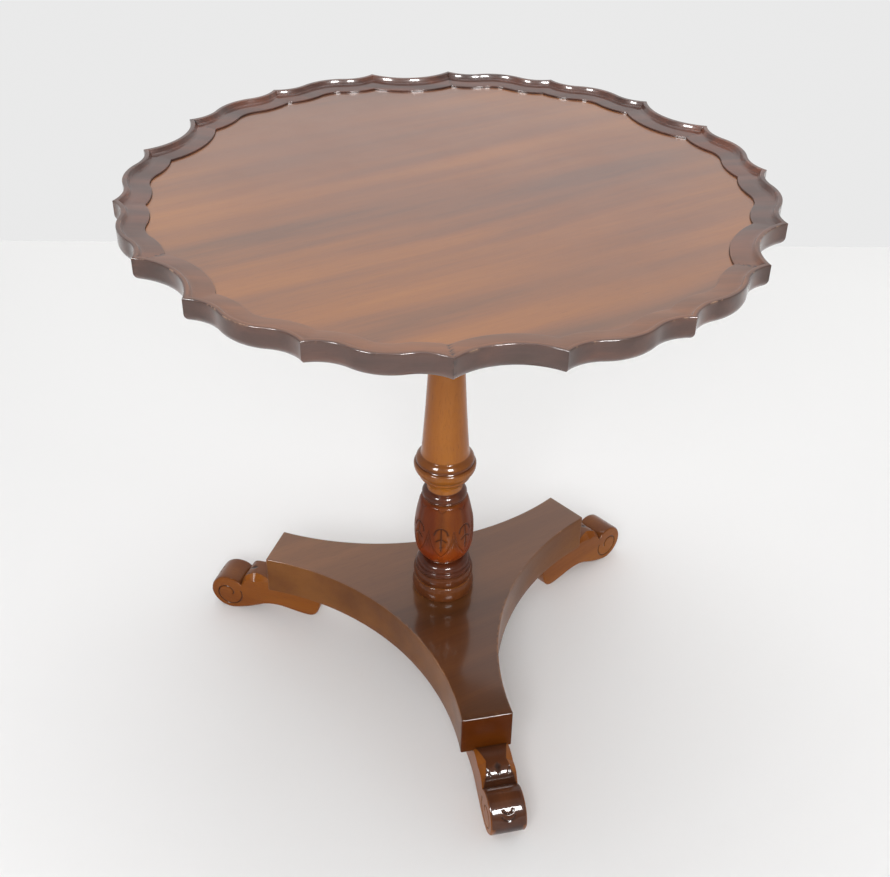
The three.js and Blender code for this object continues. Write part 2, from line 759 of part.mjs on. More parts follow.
// Side of a foot as [distance from the axis, height]: rounded tail, arched underside, flat sole
// under the scroll, the scroll itself, a valley, and the knee against the platform's corner.
function footOutline() {
  const top = platformBottom - fitGap;
  const low = platformBottom - footDepth;
  const face = cornerReach + fitGap;
  const arch = scrollReach - footTail;
  const sole = Math.asin(solePad / scrollRadius);
  const path = new THREE.Path();
  path.moveTo(face, top);
  path.lineTo(footTail, top);
  path.quadraticCurveTo(footTail + 2, low, footTail + 0.14 * arch, low);
  path.bezierCurveTo(footTail + 0.34 * arch, low, footTail + 0.48 * arch, low + 12,
    scrollReach - 1.6 * scrollRadius, low - 3);
  path.quadraticCurveTo(scrollReach - 0.7 * scrollRadius, 3, scrollReach - solePad, 0);
  path.lineTo(scrollReach + solePad, 0);
  path.absarc(scrollReach, scrollRadius, scrollRadius, sole - Math.PI / 2, scrollTurn, false);
  path.quadraticCurveTo(scrollReach - 0.87 * scrollRadius, top + kneeRise - 4,
    scrollReach - 1.5 * scrollRadius, top + kneeRise);
  path.quadraticCurveTo(face + 12, top + kneeRise + 2, face, top + kneeRise - 3);
  return path.getPoints(footSteps);
}

function foot(index) {
  const group = new THREE.Group();
  group.rotation.z = footAngle(index);
  const shape = new THREE.Shape(footOutline());
  const body = new THREE.ExtrudeGeometry(shape, { depth: footWidth, bevelEnabled: false })
    .rotateX(Math.PI / 2).translate(0, footSlip[index] + footWidth / 2, 0);
  const holes = footScrewSpots.map((spot) => footScrewHole(index, spot));
  group.add(named(`foot_${index + 1}`, cut(body, holes), turnedWood));
  footScrewSpots.forEach((spot, i) => {
    const name = `foot_screw_${2 * index + i + 1}`;
    group.add(placedScrew(name, footScrew, footScrewLength, footScrewHead(index, spot), up, steel));
  });
  return group;
}

// ---------------------------------------------------------------- catch

function strikePlate() {
  const body = box([-strikeWidth / 2, strikeFront - strikeThickness, boltMidZ - strikeHeight / 2],
    [strikeWidth / 2, strikeFront, boltMidZ + strikeHeight / 2]);
  const holes = [boltMortise(), ...strikeScrewHeads().map(strikeScrewHole)];
  return named('strike_plate', cut(body, holes), brass);
}

// Flanged brass case with a channel for the bolt, a slot for the knob and a pocket for the spring.
function catchCase() {
  const back = caseFront + caseLength;
  const boltBottom = boltTop - boltHeight;
  const flange = box([-flangeWidth / 2, caseFront, undersideZ - flangeThickness],
    [flangeWidth / 2, back, undersideZ]);
  const housing = box([-caseWidth / 2, caseFront, boltBottom - caseFloor],
    [caseWidth / 2, back, undersideZ]);
  const channelHalf = boltWidth / 2 + fitGap;
  const channel = box([-channelHalf, caseFront - through, boltBottom - fitGap],
    [channelHalf, back + through, boltTop + fitGap]);
  const slotHalf = knobNeckRadius + fitGap;
  const slot = box([-slotHalf, knobY - boltTravel - slotHalf, boltBottom - caseFloor - through],
    [slotHalf, knobY + slotHalf, boltBottom]);
  const pocketHalf = springLength / 2 + fitGap;
  const pocketTop = boltTop + springRise + springThickness + 3 * fitGap;
  const pocket = box([-springWidth / 2 - fitGap, springY - pocketHalf, boltTop],
    [springWidth / 2 + fitGap, springY + pocketHalf, pocketTop]);
  const holes = [channel, slot, pocket, ...flangeScrewSpots.map(flangeScrewHole)];
  return named('catch_case', cut(join(flange, [housing]), holes), brass);
}

// Bowed leaf that presses on the bolt, so that it stays where it is slid.
function boltSpring() {
  const half = springLength / 2;
  const radius = (half ** 2 + springRise ** 2) / (2 * springRise);
  const spread = Math.asin(half / radius);
  const centre = new THREE.Vector2(springY, boltTop + 2 * fitGap + springRise - radius);
  const crest = Math.PI / 2;
  const outline = [
    ...arcPoints(centre, radius, crest - spread, crest + spread, 8),
    ...arcPoints(centre, radius + springThickness, crest + spread, crest - spread, 8),
  ];
  return named('bolt_spring', extrudeAlongX(outline, -springWidth / 2, springWidth / 2), steel);
}

function catchBolt() {
  const body = box([-boltWidth / 2, boltNose, boltTop - boltHeight],
    [boltWidth / 2, boltNose + boltLength, boltTop]);
  const socket = rod(knobNeckRadius + fitGap,
    new THREE.Vector3(0, knobY, boltTop - boltHeight - through),
    new THREE.Vector3(0, knobY, boltMidZ), pinSides);
  return named('catch_bolt', cut(body, [socket]), brass);
}

function catchKnob() {
  const neckTop = boltHeight / 2 - fitGap;
  const neckEnd = -caseFloor - knobClearance;
  const knobEnd = neckEnd - knobHeight;
  const profile = [
    [0, neckTop], [knobNeckRadius, neckTop], [knobNeckRadius, neckEnd],
    [knobRadius, neckEnd - knobEase], [knobRadius, knobEnd + knobEase],
    [knobRadius - knobEase, knobEnd], [0, knobEnd],
  ].map(([r, z]) => new THREE.Vector2(r, z));
  const mesh = named('catch_knob', new THREE.LatheGeometry(profile.reverse(), pinSides), brass);
  mesh.rotation.x = Math.PI / 2;
  mesh.position.set(0, knobY, boltTop - boltHeight);
  return mesh;
}

// ---------------------------------------------------------------- assembly

const table = new THREE.Group();

const stand = new THREE.Group();
stand.add(platform(), column(), ...wedges(), tiltBlock());
stand.add(pivotPin('pivot_pin_left', -1), pivotPin('pivot_pin_right', 1), strikePlate());
strikeScrewHeads().forEach((head, i) => {
  stand.add(placedScrew(`strike_screw_${i + 1}`, brassScrew, brassScrewLength, head, inward, brass));
});
for (let k = 0; k < 3; k++) stand.add(foot(k));

const top = new THREE.Group();
top.add(topPanel());
for (let k = 0; k < edgeRepeats; k++) top.add(rimSegment(k));
top.add(bearer('bearer_left', -1), bearer('bearer_right', 1));
[...bearerScrewSpots(-1), ...bearerScrewSpots(1)].forEach((spot, i) => {
  const head = new THREE.Vector3(spot.x, spot.y, bearerScrewHead);
  top.add(placedScrew(`bearer_screw_${i + 1}`, woodScrew, bearerScrewLength, head, up, steel));
});
top.add(catchCase(), boltSpring());
flangeScrewSpots.forEach((spot, i) => {
  const head = new THREE.Vector3(spot.x, spot.y, undersideZ - flangeThickness);
  top.add(placedScrew(`catch_screw_${i + 1}`, brassScrew, brassScrewLength, head, up, brass));
});

const bolt = new THREE.Group();
bolt.add(catchBolt(), catchKnob());

table.add(stand, top, bolt);

export default table;
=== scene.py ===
import math

import bmesh
import bpy
import numpy as np
from mathutils import Matrix, Vector
from numpy.linalg import norm


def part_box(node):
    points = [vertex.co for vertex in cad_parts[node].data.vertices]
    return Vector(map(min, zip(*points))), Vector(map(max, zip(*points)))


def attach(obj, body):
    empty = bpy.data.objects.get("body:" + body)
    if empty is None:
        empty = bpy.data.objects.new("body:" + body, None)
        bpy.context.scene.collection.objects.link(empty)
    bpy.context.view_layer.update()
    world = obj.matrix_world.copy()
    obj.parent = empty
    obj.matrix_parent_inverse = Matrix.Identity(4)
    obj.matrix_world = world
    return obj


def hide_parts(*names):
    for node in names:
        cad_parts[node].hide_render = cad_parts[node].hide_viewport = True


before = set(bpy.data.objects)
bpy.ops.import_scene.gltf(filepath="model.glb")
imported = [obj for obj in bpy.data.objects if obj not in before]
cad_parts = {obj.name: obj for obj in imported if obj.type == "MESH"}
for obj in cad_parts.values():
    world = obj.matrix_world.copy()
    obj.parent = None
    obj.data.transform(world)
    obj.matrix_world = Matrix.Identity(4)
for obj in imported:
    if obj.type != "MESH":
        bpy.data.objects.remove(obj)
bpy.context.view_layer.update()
print("frame loaded:", len(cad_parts), "nodes")

# Shapes are worked out in millimetres and put into the meshes in metres, in the frame of the part:
# +Z up, origin on the floor under the column, +X along the tilt axis and the grain of the top.
mm = 0.001


def addObject(name, data):
    # An object of the scene with the mesh, lamp or camera given.
    made = bpy.data.objects.new(name, data)
    bpy.context.scene.collection.objects.link(made)
    return made


def direction(azimuth, height=0.0):
    # Unit vector: cosine and sine of the direction in plan, drawn in by the cosine of the height above level.
    a, e = math.radians(azimuth), math.radians(height)
    return np.array([math.cos(a) * math.cos(e), math.sin(a) * math.cos(e), math.sin(e)])


cameraSet = {
    "place": (-605.7, -1008.0, 1160.4),
    "heading": 59.03,      # plan direction of the view, from +X
    "pitch": 35.39,        # below level
    "roll": 1.09,
    "lens": 51.18, "sensor": 36,
}


def placeCamera(values):
    # Rolled about the line of view, tipped up from looking straight down, then turned to the heading.
    data = bpy.data.cameras.new("camera")
    data.lens = values["lens"]
    data.sensor_width = values["sensor"]
    data.dof.use_dof = False
    camera = addObject("camera", data)
    place = Matrix.Translation(Vector(values["place"]) * mm)
    for degrees, axis in ((values["heading"] - 90, "Z"), (90 - values["pitch"], "X"), (values["roll"], "Z")):
        place = place @ Matrix.Rotation(math.radians(degrees), 4, axis)
    camera.matrix_world = place
    bpy.context.scene.camera = camera


lightSet = {
    "horizon": 1.06,             # strength of the even light from all round, level with the floor
    "zenith": 0.64,              # and from straight above
    "front": 0.42,               # share of it on the viewer's side of the studio
    "back": 1.30,                # and on the far side
    "tint": (1, 0.995, 0.985, 1),
    "background": 0.82,          # what the camera sees past the floor
    "reflected": (0.22, 0.82),   # what polish and metal reflect, on the viewer's side and on the far side
    # azimuth, height above level, distance, width, height, strength, whether it lights and is mirrored
    "softboxes": [
        (-159.5, 34, 2400, 620, 720, 72.0, False, True),
        (-98.5, 34, 2400, 700, 780, 108.0, False, True),
        (-126, 34, 2400, 1100, 700, 31.0, True, False),
        (59, 76, 2300, 1300, 1000, 12.0, True, True),
    ],
    "aim": (0, 0, 0.3),          # where they all point, in metres
}


def lightScene(values):
    # Light from all round fades up to the zenith and from the far side to the viewer's. The camera sees an
    # even pale grey, and gloss mirrors a brightness of its own.
    world = bpy.data.worlds.new("studio")
    bpy.context.scene.world = world
    world.use_nodes = True
    tree = world.node_tree
    tree.nodes.clear()
    path = addNode(tree, "LightPath").outputs
    way = addNode(tree, "TexCoord").outputs["Generated"]
    rise = addNode(tree, "SeparateXYZ", {"Vector": way}).outputs["Z"]
    facing = distanceAlong(tree, way, direction(cameraSet["heading"]))
    strength = mathNode(tree, "MULTIPLY", spread(tree, rise, 0.0, 1.0, values["horizon"], values["zenith"]),
                        spread(tree, facing, -0.9, 0.9, values["front"], values["back"]))
    mirrored = spread(tree, facing, -0.6, 0.6, *values["reflected"])
    white = (1, 1, 1, 1)
    even, shown, gloss = (
        addNode(tree, "Background", {"Color": colour, "Strength": power}).outputs[0] for colour, power in
        ((values["tint"], strength), (white, values["background"]), (white, mirrored)))
    shiny = mathNode(tree, "MAXIMUM", path["Is Glossy Ray"], path["Is Transmission Ray"])
    plain = addNode(tree, "MixShader", {0: path["Is Camera Ray"], 1: even, 2: shown}).outputs[0]
    whole = addNode(tree, "MixShader", {0: shiny, 1: plain, 2: gloss}).outputs[0]
    addNode(tree, "OutputWorld", {"Surface": whole})
    for i, (azimuth, height, distance, width, tall, power, lights, shines) in enumerate(values["softboxes"]):
        way = Vector(direction(azimuth, height))
        data = bpy.data.lights.new(f"softbox{i + 1}", "AREA")
        data.shape = "RECTANGLE"
        data.size = width * mm
        data.size_y = tall * mm
        data.energy = power
        lamp = addObject(f"softbox{i + 1}", data)
        turn = way.to_track_quat("Z", "Y").to_matrix().to_4x4()
        lamp.matrix_world = Matrix.Translation(Vector(values["aim"]) + way * distance * mm) @ turn
        lamp.visible_camera = False
        lamp.visible_diffuse = lights
        lamp.visible_glossy = shines


floorSet = {
    "far": 1137,          # edge of the floor behind the table, along the view
    "farTurn": 1.47,      # degrees that the far edge is turned from square to the view
    "near": 7000, "side": 5000,
    # painted light: the floor is drawn darker towards the viewer and paler towards the back
    "colours": [(810, 810, 815), (880, 880, 883), (985, 985, 985)],
    "colourRun": (-700, 1137),   # where along the view the first and last colour lie
    "colourTurn": -14,           # degrees that the run of colour is turned from the view
    "roughness": 0.75, "gloss": 0.25,
}


def layFloor(values):
    # A rectangle of points, along the view and across it, with a colour that runs along it: painted light,
    # darker towards the viewer and paler towards the back.
    heading = cameraSet["heading"]
    v = np.linspace(-values["side"], values["side"], 13)[None, :, None]
    far = values["far"] + v * math.tan(math.radians(values["farTurn"]))
    u = -values["near"] + (far + values["near"]) * np.linspace(0, 1, 13)[:, None, None]
    points = u * direction(heading) + v * direction(heading - 90)
    floor = makeObject("floor", [sheet(points)], closed=False)
    material, tree, shader = newMaterial("paleFloor")
    place = addNode(tree, "TexCoord").outputs["Object"]
    distance = distanceAlong(tree, place, direction(heading + values["colourTurn"]))
    share = spread(tree, distance, *[r * mm for r in values["colourRun"]])
    colour = colourRamp(tree, share, (0.0, 0.5, 1.0), values["colours"])
    fill(tree, shader, {
        "Base Color": colour, "Roughness": values["roughness"], "Specular IOR Level": values["gloss"]})
    floor.data.materials.append(material)


def sheet(points, rows=False, columns=False, **marks):
    # A grid of points; rows or columns true where its last joins its first. Marks are numbers for points.
    return {"points": points, "rows": rows, "columns": columns, "marks": marks}


def sheetFaces(sheet, first):
    # Each face joins a point to its neighbours in the next row and the next column.
    rows, columns = sheet["points"].shape[:2]
    i = np.arange(rows if sheet["rows"] else rows - 1)[:, None]
    j = np.arange(columns if sheet["columns"] else columns - 1)[None, :]
    down, right = (i + 1) % rows, (j + 1) % columns
    corners = [i * columns + j, down * columns + j, down * columns + right, i * columns + right]
    return first + np.stack(corners, -1).reshape(-1, 4)


def makeObject(name, sheets, fold=32, closed=True):
    # Sheets are joined into one mesh, and points in the same place become one.
    points, faces, count = [], [], 0
    for s in sheets:
        faces.append(sheetFaces(s, count))
        points.append(s["points"].reshape(-1, 3))
        count += len(points[-1])
    mesh = bpy.data.meshes.new(name)
    mesh.from_pydata((np.concatenate(points) * mm).tolist(), [], np.concatenate(faces).tolist())
    for mark in sorted({k for s in sheets for k in s["marks"]}):
        values = [np.broadcast_to(s["marks"].get(mark, 0.0), s["points"].shape[:2]).ravel() for s in sheets]
        attribute = mesh.attributes.new(mark, "FLOAT", "POINT")
        attribute.data.foreach_set("value", np.concatenate(values).astype(np.float32))
    work = bmesh.new()
    work.from_mesh(mesh)
    bmesh.ops.remove_doubles(work, verts=work.verts, dist=2e-6)
    bmesh.ops.dissolve_degenerate(work, edges=work.edges, dist=1e-7)
    if closed:
        bmesh.ops.recalc_face_normals(work, faces=work.faces)
    return meshObject(name, mesh, work, fold)


def meshObject(name, mesh, work, fold):
    # The worked mesh as an object, smooth but for edges that fold by more than the degrees given.
    work.to_mesh(mesh)
    work.free()
    mesh.polygons.foreach_set("use_smooth", np.ones(len(mesh.polygons), bool))
    mesh.set_sharp_from_angle(angle=math.radians(fold))
    return addObject(name, mesh)


def finishPiece(piece, body, slot, node, *looks):
    # The piece rides on a body, takes its finishes and stands for the node named.
    for look in looks:
        piece.data.materials.append(finishes[look])
    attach(piece, body)
    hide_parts(node)


def finishBelow(piece, limit):
    # Faces whose normal rises less than the limit take the second of the piece's finishes.
    normals = np.zeros(len(piece.data.polygons) * 3)
    piece.data.polygons.foreach_get("normal", normals)
    piece.data.polygons.foreach_set("material_index", (normals[2::3] < limit).astype(np.int32))


def nodeBox(node):
    # Lowest and highest corner of a node, in millimetres.
    low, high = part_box(node)
    return np.array(low) / mm, np.array(high) / mm


def curve(*stroke):
    # From the first place to the last in so many points, straight or drawn towards corners given between:
    # each place moves to the next by the share of the way gone, until one is left.
    *places, count = stroke
    t = np.linspace(0, 1, count)[:, None]
    while len(places) > 1:
        places = [(1 - t) * np.array(a, float) + t * np.array(b, float) for a, b in zip(places, places[1:])]
    return places[0]


def polar(radius, degrees):
    # Point or points in a plane: the distance from the middle times cosine and sine of the direction.
    a = np.radians(degrees)
    return radius * np.stack([np.cos(a), np.sin(a)], -1)


def arc(centre, radius, start, end, count=12):
    # Part of a circle: its centre plus the radius in each direction from start to end, in degrees.
    return np.array(centre) + polar(radius, np.linspace(start, end, count))


def bulge(start, end, rise, count=12):
    # Arc from start to end that stands off the straight line by a rise, on its right.
    start, end = np.array(start, float), np.array(end, float)
    half = norm(end - start) / 2
    way = (end - start) / (2 * half)
    out = np.array([way[1], -way[0]])
    radius = (half ** 2 + rise ** 2) / (2 * abs(rise))
    centre = (start + end) / 2 + out * (rise - math.copysign(radius, rise))
    opening = math.asin(min(1, half / radius))
    a = np.linspace(-opening, opening, count)[:, None]
    return centre + radius * (math.copysign(1, rise) * out * np.cos(a) + way * np.sin(a))


def through(points, count=10):
    # Smooth curve through points: between two, the cubic whose slopes at them come from their neighbours.
    p = np.array(points, float)
    slope = np.gradient(p, axis=0)
    t = np.linspace(0, 1, count)[None, :, None]
    a, b, m, n = p[:-1, None], p[1:, None], slope[:-1, None], slope[1:, None]
    line = ((2 * t ** 3 - 3 * t ** 2 + 1) * a + (t ** 3 - 2 * t ** 2 + t) * m
            + (3 * t ** 2 - 2 * t ** 3) * b + (t ** 3 - t ** 2) * n)
    return line.reshape(-1, 2)


def joined(*parts):
    # Lines of points end to end, with repeated points left out. A tuple is a curve from where the last one
    # ended, and a list is its points.
    lines = []
    for part in parts:
        lines.append(curve(lines[-1][-1], *part) if isinstance(part, tuple) else np.array(part, float))
    p = np.concatenate(lines)
    keep = np.append(True, norm(np.diff(p, axis=0), axis=1) > 1e-4)
    return p[keep]


def lengthAlong(path):
    # Sum of the steps up to each point.
    return np.append(0, np.cumsum(norm(np.diff(path, axis=0), axis=1)))


def resample(path, at):
    # Points of a path at the lengths given.
    run = lengthAlong(path)
    return np.stack([np.interp(at, run, path[:, k]) for k in range(path.shape[1])], -1)


def inwardNormals(path, closed=False):
    # Square to the way the path runs, to its left.
    way = np.roll(path, -1, 0) - np.roll(path, 1, 0) if closed else np.gradient(path, axis=0)
    way /= norm(way, axis=1, keepdims=True)
    return np.stack([-way[:, 1], way[:, 0]], -1)


def stroke(x, y, path, width):
    # 1 on a path and 0 away from it: a bell curve of the distance to the nearest of its close-set points.
    nearest = np.full(x.shape, 1e9)
    for px, py in resample(path, np.arange(0, lengthAlong(path)[-1] + 0.2, 0.25)):
        nearest = np.minimum(nearest, (x - px) ** 2 + (y - py) ** 2)
    return np.exp(-nearest / width ** 2)


def nearSpots(x, y, spots):
    # Sum of bell curves of the distance from each spot; a spot is x, y, reach and strength.
    return sum(high * np.exp(-((x - a) ** 2 + (y - b) ** 2) / reach ** 2) for a, b, reach, high in spots)


def fade(x, low, high):
    # 0 below low, 1 above high, and between them three squares of the share of the way less two cubes.
    t = np.clip((x - low) / (high - low), 0, 1)
    return t * t * (3 - 2 * t)


def atHeight(plan, height):
    # Points in plan with a height, one for all or one for each.
    return np.concatenate([plan, np.broadcast_to(height, plan.shape[:-1])[..., None]], -1)


def fill(tree, node, inputs):
    # Inputs are set to numbers and colours, or linked to another node's output.
    for key, value in inputs.items():
        if isinstance(value, bpy.types.NodeSocket):
            tree.links.new(value, node.inputs[key])
        else:
            node.inputs[key].default_value = value


def addNode(tree, kind, inputs=None, **settings):
    # A shader node with its settings and inputs.
    made = tree.nodes.new("ShaderNode" + kind)
    for key, value in settings.items():
        setattr(made, key, value)
    fill(tree, made, inputs or {})
    return made


def newMaterial(name):
    # A material with its nodes and the shader that the rest of them lead to.
    material = bpy.data.materials.new(name)
    material.use_nodes = True
    tree = material.node_tree
    return material, tree, tree.nodes["Principled BSDF"]


def noise(tree, place, scale, detail, roughness=0.5):
    # Cloudy noise with so many clouds to the metre.
    return addNode(tree, "TexNoise", {
        "Vector": place, "Scale": scale, "Detail": detail, "Roughness": roughness}).outputs


def streaks(tree, place, stretch, detail, roughness=0.5):
    # Noise drawn out along the grain; stretch is cycles per metre along it and across it.
    along, across = stretch
    scaled = addNode(tree, "Mapping", {"Vector": place, "Scale": (along, across, across)}).outputs["Vector"]
    return noise(tree, scaled, 1.0, detail, roughness)["Fac"]


def mathNode(tree, operation, a, b=0.0, c=0.0):
    # One sum; the third number is only added where the operation multiplies and adds.
    return addNode(tree, "Math", {0: a, 1: b, 2: c}, operation=operation).outputs[0]


def distanceAlong(tree, place, way):
    # How far a place lies along a direction: the product of the two vectors.
    return addNode(tree, "VectorMath", {0: place, 1: way}, operation="DOT_PRODUCT").outputs["Value"]


def spread(tree, value, low, high, toLow=0.0, toHigh=1.0):
    # Value carried from one range to another and held at its ends.
    ends = {"From Min": low, "From Max": high, "To Min": toLow, "To Max": toHigh}
    return addNode(tree, "MapRange", {"Value": value, **ends}).outputs["Result"]


def rgba(colour):
    # Red, green and blue are given in thousandths.
    return (*(c / 1000 for c in colour), 1)


def colourRamp(tree, value, places, colours):
    # A colour at each place, blended evenly between them.
    ramp = addNode(tree, "ValToRGB", {"Fac": value})
    elements = ramp.color_ramp.elements
    while len(elements) < len(places):
        elements.new(0.5)
    for element, place, colour in zip(elements, places, colours):
        element.position = place
        element.color = rgba(colour)
    return ramp.outputs["Color"]


def blendColour(tree, share, a, b):
    # The first colour gives way to the second by the share.
    a, b = (rgba(c) if isinstance(c, tuple) else c for c in (a, b))
    return addNode(tree, "Mix", {"Factor": share, 6: a, 7: b}, data_type="RGBA").outputs[2]


def mark(tree, name):
    # A number kept at each point of the mesh; 0 where the mesh has no such mark.
    return addNode(tree, "Attribute", attribute_name=name).outputs["Fac"]


def polishedWood(name, look):
    # Colour from three layers of streaks along the grain and dark pores. Marks in the mesh calm the streaks,
    # bring in other tones (some of them painted shade or painted light), darken recesses, cuts and joins with
    # painted shade (the rim's glue lines with their own dark colour), wear the edges with a pale colour that
    # is partly a painted glint, and dull the polish over it all.
    material, tree, shader = newMaterial(name)
    place = addNode(tree, "TexCoord").outputs["Object"]
    turn = tuple(math.radians(a) for a in look["grainTurn"])
    turned = addNode(tree, "Mapping", {"Vector": place, "Rotation": turn}).outputs["Vector"]
    drift = noise(tree, turned, look["waviness"], 1.0)["Color"]
    centred = addNode(tree, "VectorMath", {0: drift, 1: (0.5, 0.5, 0.5)}, operation="SUBTRACT").outputs[0]
    bent = {0: centred, 1: (0, look["wander"], look["wander"]), 2: turned}
    grain = addNode(tree, "VectorMath", bent, operation="MULTIPLY_ADD").outputs[0]
    figure = 0.0
    for layer, detail, roughness, weight in zip(*streakLayers, look["weights"]):
        fine = streaks(tree, grain, look[layer], detail, roughness)
        figure = mathNode(tree, "MULTIPLY_ADD", fine, weight, figure)
    if look["calm"]:
        still = mathNode(tree, "MULTIPLY", mark(tree, "calm"), look["calm"])
        away = mathNode(tree, "SUBTRACT", look["calmFigure"], figure)
        figure = mathNode(tree, "MULTIPLY_ADD", away, still, figure)
    colour = colourRamp(tree, figure, look["places"], look["colours"])
    for tone, colours in look["tones"].items():
        other = colourRamp(tree, figure, look["places"], colours)
        colour = blendColour(tree, mark(tree, tone), colour, other)
    poreDepth = spread(tree, streaks(tree, grain, look["pores"], 1.0), *look["poreRange"])
    poreTint = mathNode(tree, "MULTIPLY", poreDepth, look["poreShare"])
    colour = blendColour(tree, poreTint, colour, look["poreColour"])
    # Painted shade: the shade mark draws the colour towards the shade colour in recesses, cuts and joins; at
    # the rim's glue lines it is their own dark colour.
    colour = blendColour(tree, mark(tree, "shade"), colour, look["shadeAndJointColour"])
    rub = noise(tree, place, look["wearScale"], 4.0, 0.65)["Fac"]
    # Pale rubbed edges: partly real wear, partly a painted glint along the eased edge.
    wearAndGlint = mathNode(tree, "MULTIPLY", spread(tree, rub, *look["wearRange"]), mark(tree, "edge"))
    colour = blendColour(tree, wearAndGlint, colour, look["wearAndGlintColour"])
    cloud = noise(tree, place, look["cloudScale"], 3.0)["Fac"]
    rough = spread(tree, cloud, 0.3, 0.7, *(look["roughness"] + r for r in look["cloudRough"]))
    polish = look["polish"]
    if look["matt"]:
        polish = mathNode(tree, "MULTIPLY_ADD", mark(tree, "dull"), -look["matt"] * polish, polish)
    height = mathNode(tree, "MULTIPLY_ADD", poreDepth, -0.6, fine)
    bump = addNode(tree, "Bump", {"Height": height, "Strength": look["bump"], "Distance": 0.0003})
    fill(tree, shader, {
        "Base Color": colour, "Roughness": mathNode(tree, "MULTIPLY_ADD", wearAndGlint, 0.25, rough),
        "Normal": bump.outputs["Normal"], "IOR": 1.5, "Specular IOR Level": look["woodGloss"],
        "Coat Weight": polish, "Coat Roughness": look["polishRoughness"], "Coat IOR": 1.5})
    return material


streakLayers = ("broad", "middle", "fine"), (1.5, 2.0, 2.0), (0.5, 0.5, 0.6)     # name, detail and roughness

baseWood = {
    "grainTurn": (0, 0, 0), "waviness": 2.0, "wander": 0.02,
    "broad": (1.1, 15), "middle": (4, 52), "fine": (22, 420), "pores": (60, 1400),
    "weights": (0.62, 0.28, 0.10),      # of the broad, middle and fine streaks
    "places": (0.36, 0.50, 0.64),       # where in the figure the colours lie, from dark to light
    # The shade colour is painted shade in recesses, cuts and joins, and the dark of the rim's glue lines.
    "tones": {}, "shadeAndJointColour": (22, 8, 4), "poreColour": (50, 15, 8), "poreShare": 0.25,
    "poreRange": (0.60, 0.70),
    # the pale edge colour is partly wear and partly a painted glint
    "wearAndGlintColour": (360, 200, 120), "wearScale": 70.0, "wearRange": (0.56, 0.66),
    "cloudScale": 14.0, "cloudRough": (-0.05, 0.06), "roughness": 0.34, "bump": 0.10,
    "woodGloss": 0.2, "polish": 0.8, "polishRoughness": 0.10,
    "calm": 0.0,             # share of the streaks' contrast that is gone where the mesh is marked calm
    "calmFigure": 0.51,      # what the figure is drawn towards there
    "matt": 0.0,             # share of the polish that is gone where the mesh is marked dull
}

woodLooks = {
    "panelWood": {
        "places": (0.38, 0.46, 0.54, 0.64),
        "colours": [(112, 45, 28), (172, 59, 24), (216, 69, 20), (292, 93, 18)],
        "tones": {"warm": [(144, 53, 20), (216, 72, 18), (270, 88, 14), (338, 112, 12)]},
        "calm": 0.7, "poreShare": 0.15, "waviness": 2.6, "wander": 0.032, "weights": (0.68, 0.24, 0.08),
        "woodGloss": 0.5, "polish": 1.0, "polishRoughness": 0.16,
    },
    "rimWood": {
        "grainTurn": (0, 0, 30), "broad": (6, 40), "middle": (14, 90),
        "colours": [(56, 26, 18), (82, 37, 26), (125, 52, 32)],
        # the pale tone is painted light: the rim is drawn paler on the side towards the viewer
        "tones": {"band": [(64, 28, 21), (92, 37, 26), (150, 52, 30)],
                  "pale": [(150, 56, 24), (190, 68, 26), (240, 84, 28)]},
        "shadeAndJointColour": (14, 6, 4), "woodGloss": 0.25, "polish": 0.85, "polishRoughness": 0.06,
    },
    "columnWood": {
        "grainTurn": (0, 90, 0), "waviness": 5.0,
        "colours": [(232, 66, 6), (290, 88, 8), (360, 120, 12)],
        "tones": {"vase": [(80, 12, 1), (130, 22, 2), (205, 52, 6)],
                  "red": [(120, 14, 3), (190, 26, 3), (270, 50, 5)],
                  # painted shade: the beads, collar, lip and rings in the shade of the top are drawn darker
                  "bead": [(38, 10, 5), (65, 16, 7), (105, 26, 9)]},
        "woodGloss": 0.06, "polish": 0.5, "polishRoughness": 0.055, "matt": 0.8,
    },
    "platformWood": {
        "colours": [(135, 46, 12), (175, 62, 16), (220, 80, 21)],
        # the deep tone is painted shade on the arm towards the viewer
        "tones": {"deep": [(62, 21, 6), (88, 29, 8), (120, 40, 11)]},
        "wearRange": (0.60, 0.75), "wearAndGlintColour": (300, 130, 60),
        "woodGloss": 0.3, "polish": 1.0, "polishRoughness": 0.11,
    },
    "platformSideWood": {
        "colours": [(120, 38, 6), (160, 53, 9), (200, 71, 13)],
        # the deep tone is painted shade on the end of the arm towards the viewer
        "tones": {"deep": [(65, 13, 1), (90, 20, 2), (120, 31, 3)]},
        "wearRange": (0.60, 0.75), "wearAndGlintColour": (300, 130, 60),
        "woodGloss": 0.05, "polish": 0.32, "polishRoughness": 0.12, "matt": 0.85,
    },
    "footWood": {
        "colours": [(172, 44, 5), (225, 64, 7), (290, 92, 10)],
        # the top tone is painted shade on the upper faces of the feet and the lower front of the scroll
        "tones": {"top": [(40, 15, 10), (62, 22, 12), (95, 32, 15)]},
        "waviness": 6.0, "woodGloss": 0.06, "polish": 0.55, "polishRoughness": 0.06, "matt": 0.8,
    },
    "underframeWood": {
        "grainTurn": (0, 0, 90),
        "colours": [(120, 58, 34), (175, 90, 52), (235, 125, 72)],
        "polish": 0.15, "roughness": 0.55, "bump": 0.3,
    },
    "undersideWood": {
        "colours": [(120, 56, 34), (170, 84, 50), (225, 115, 66)],
        "polish": 0.1, "roughness": 0.58, "bump": 0.3,
    },
}


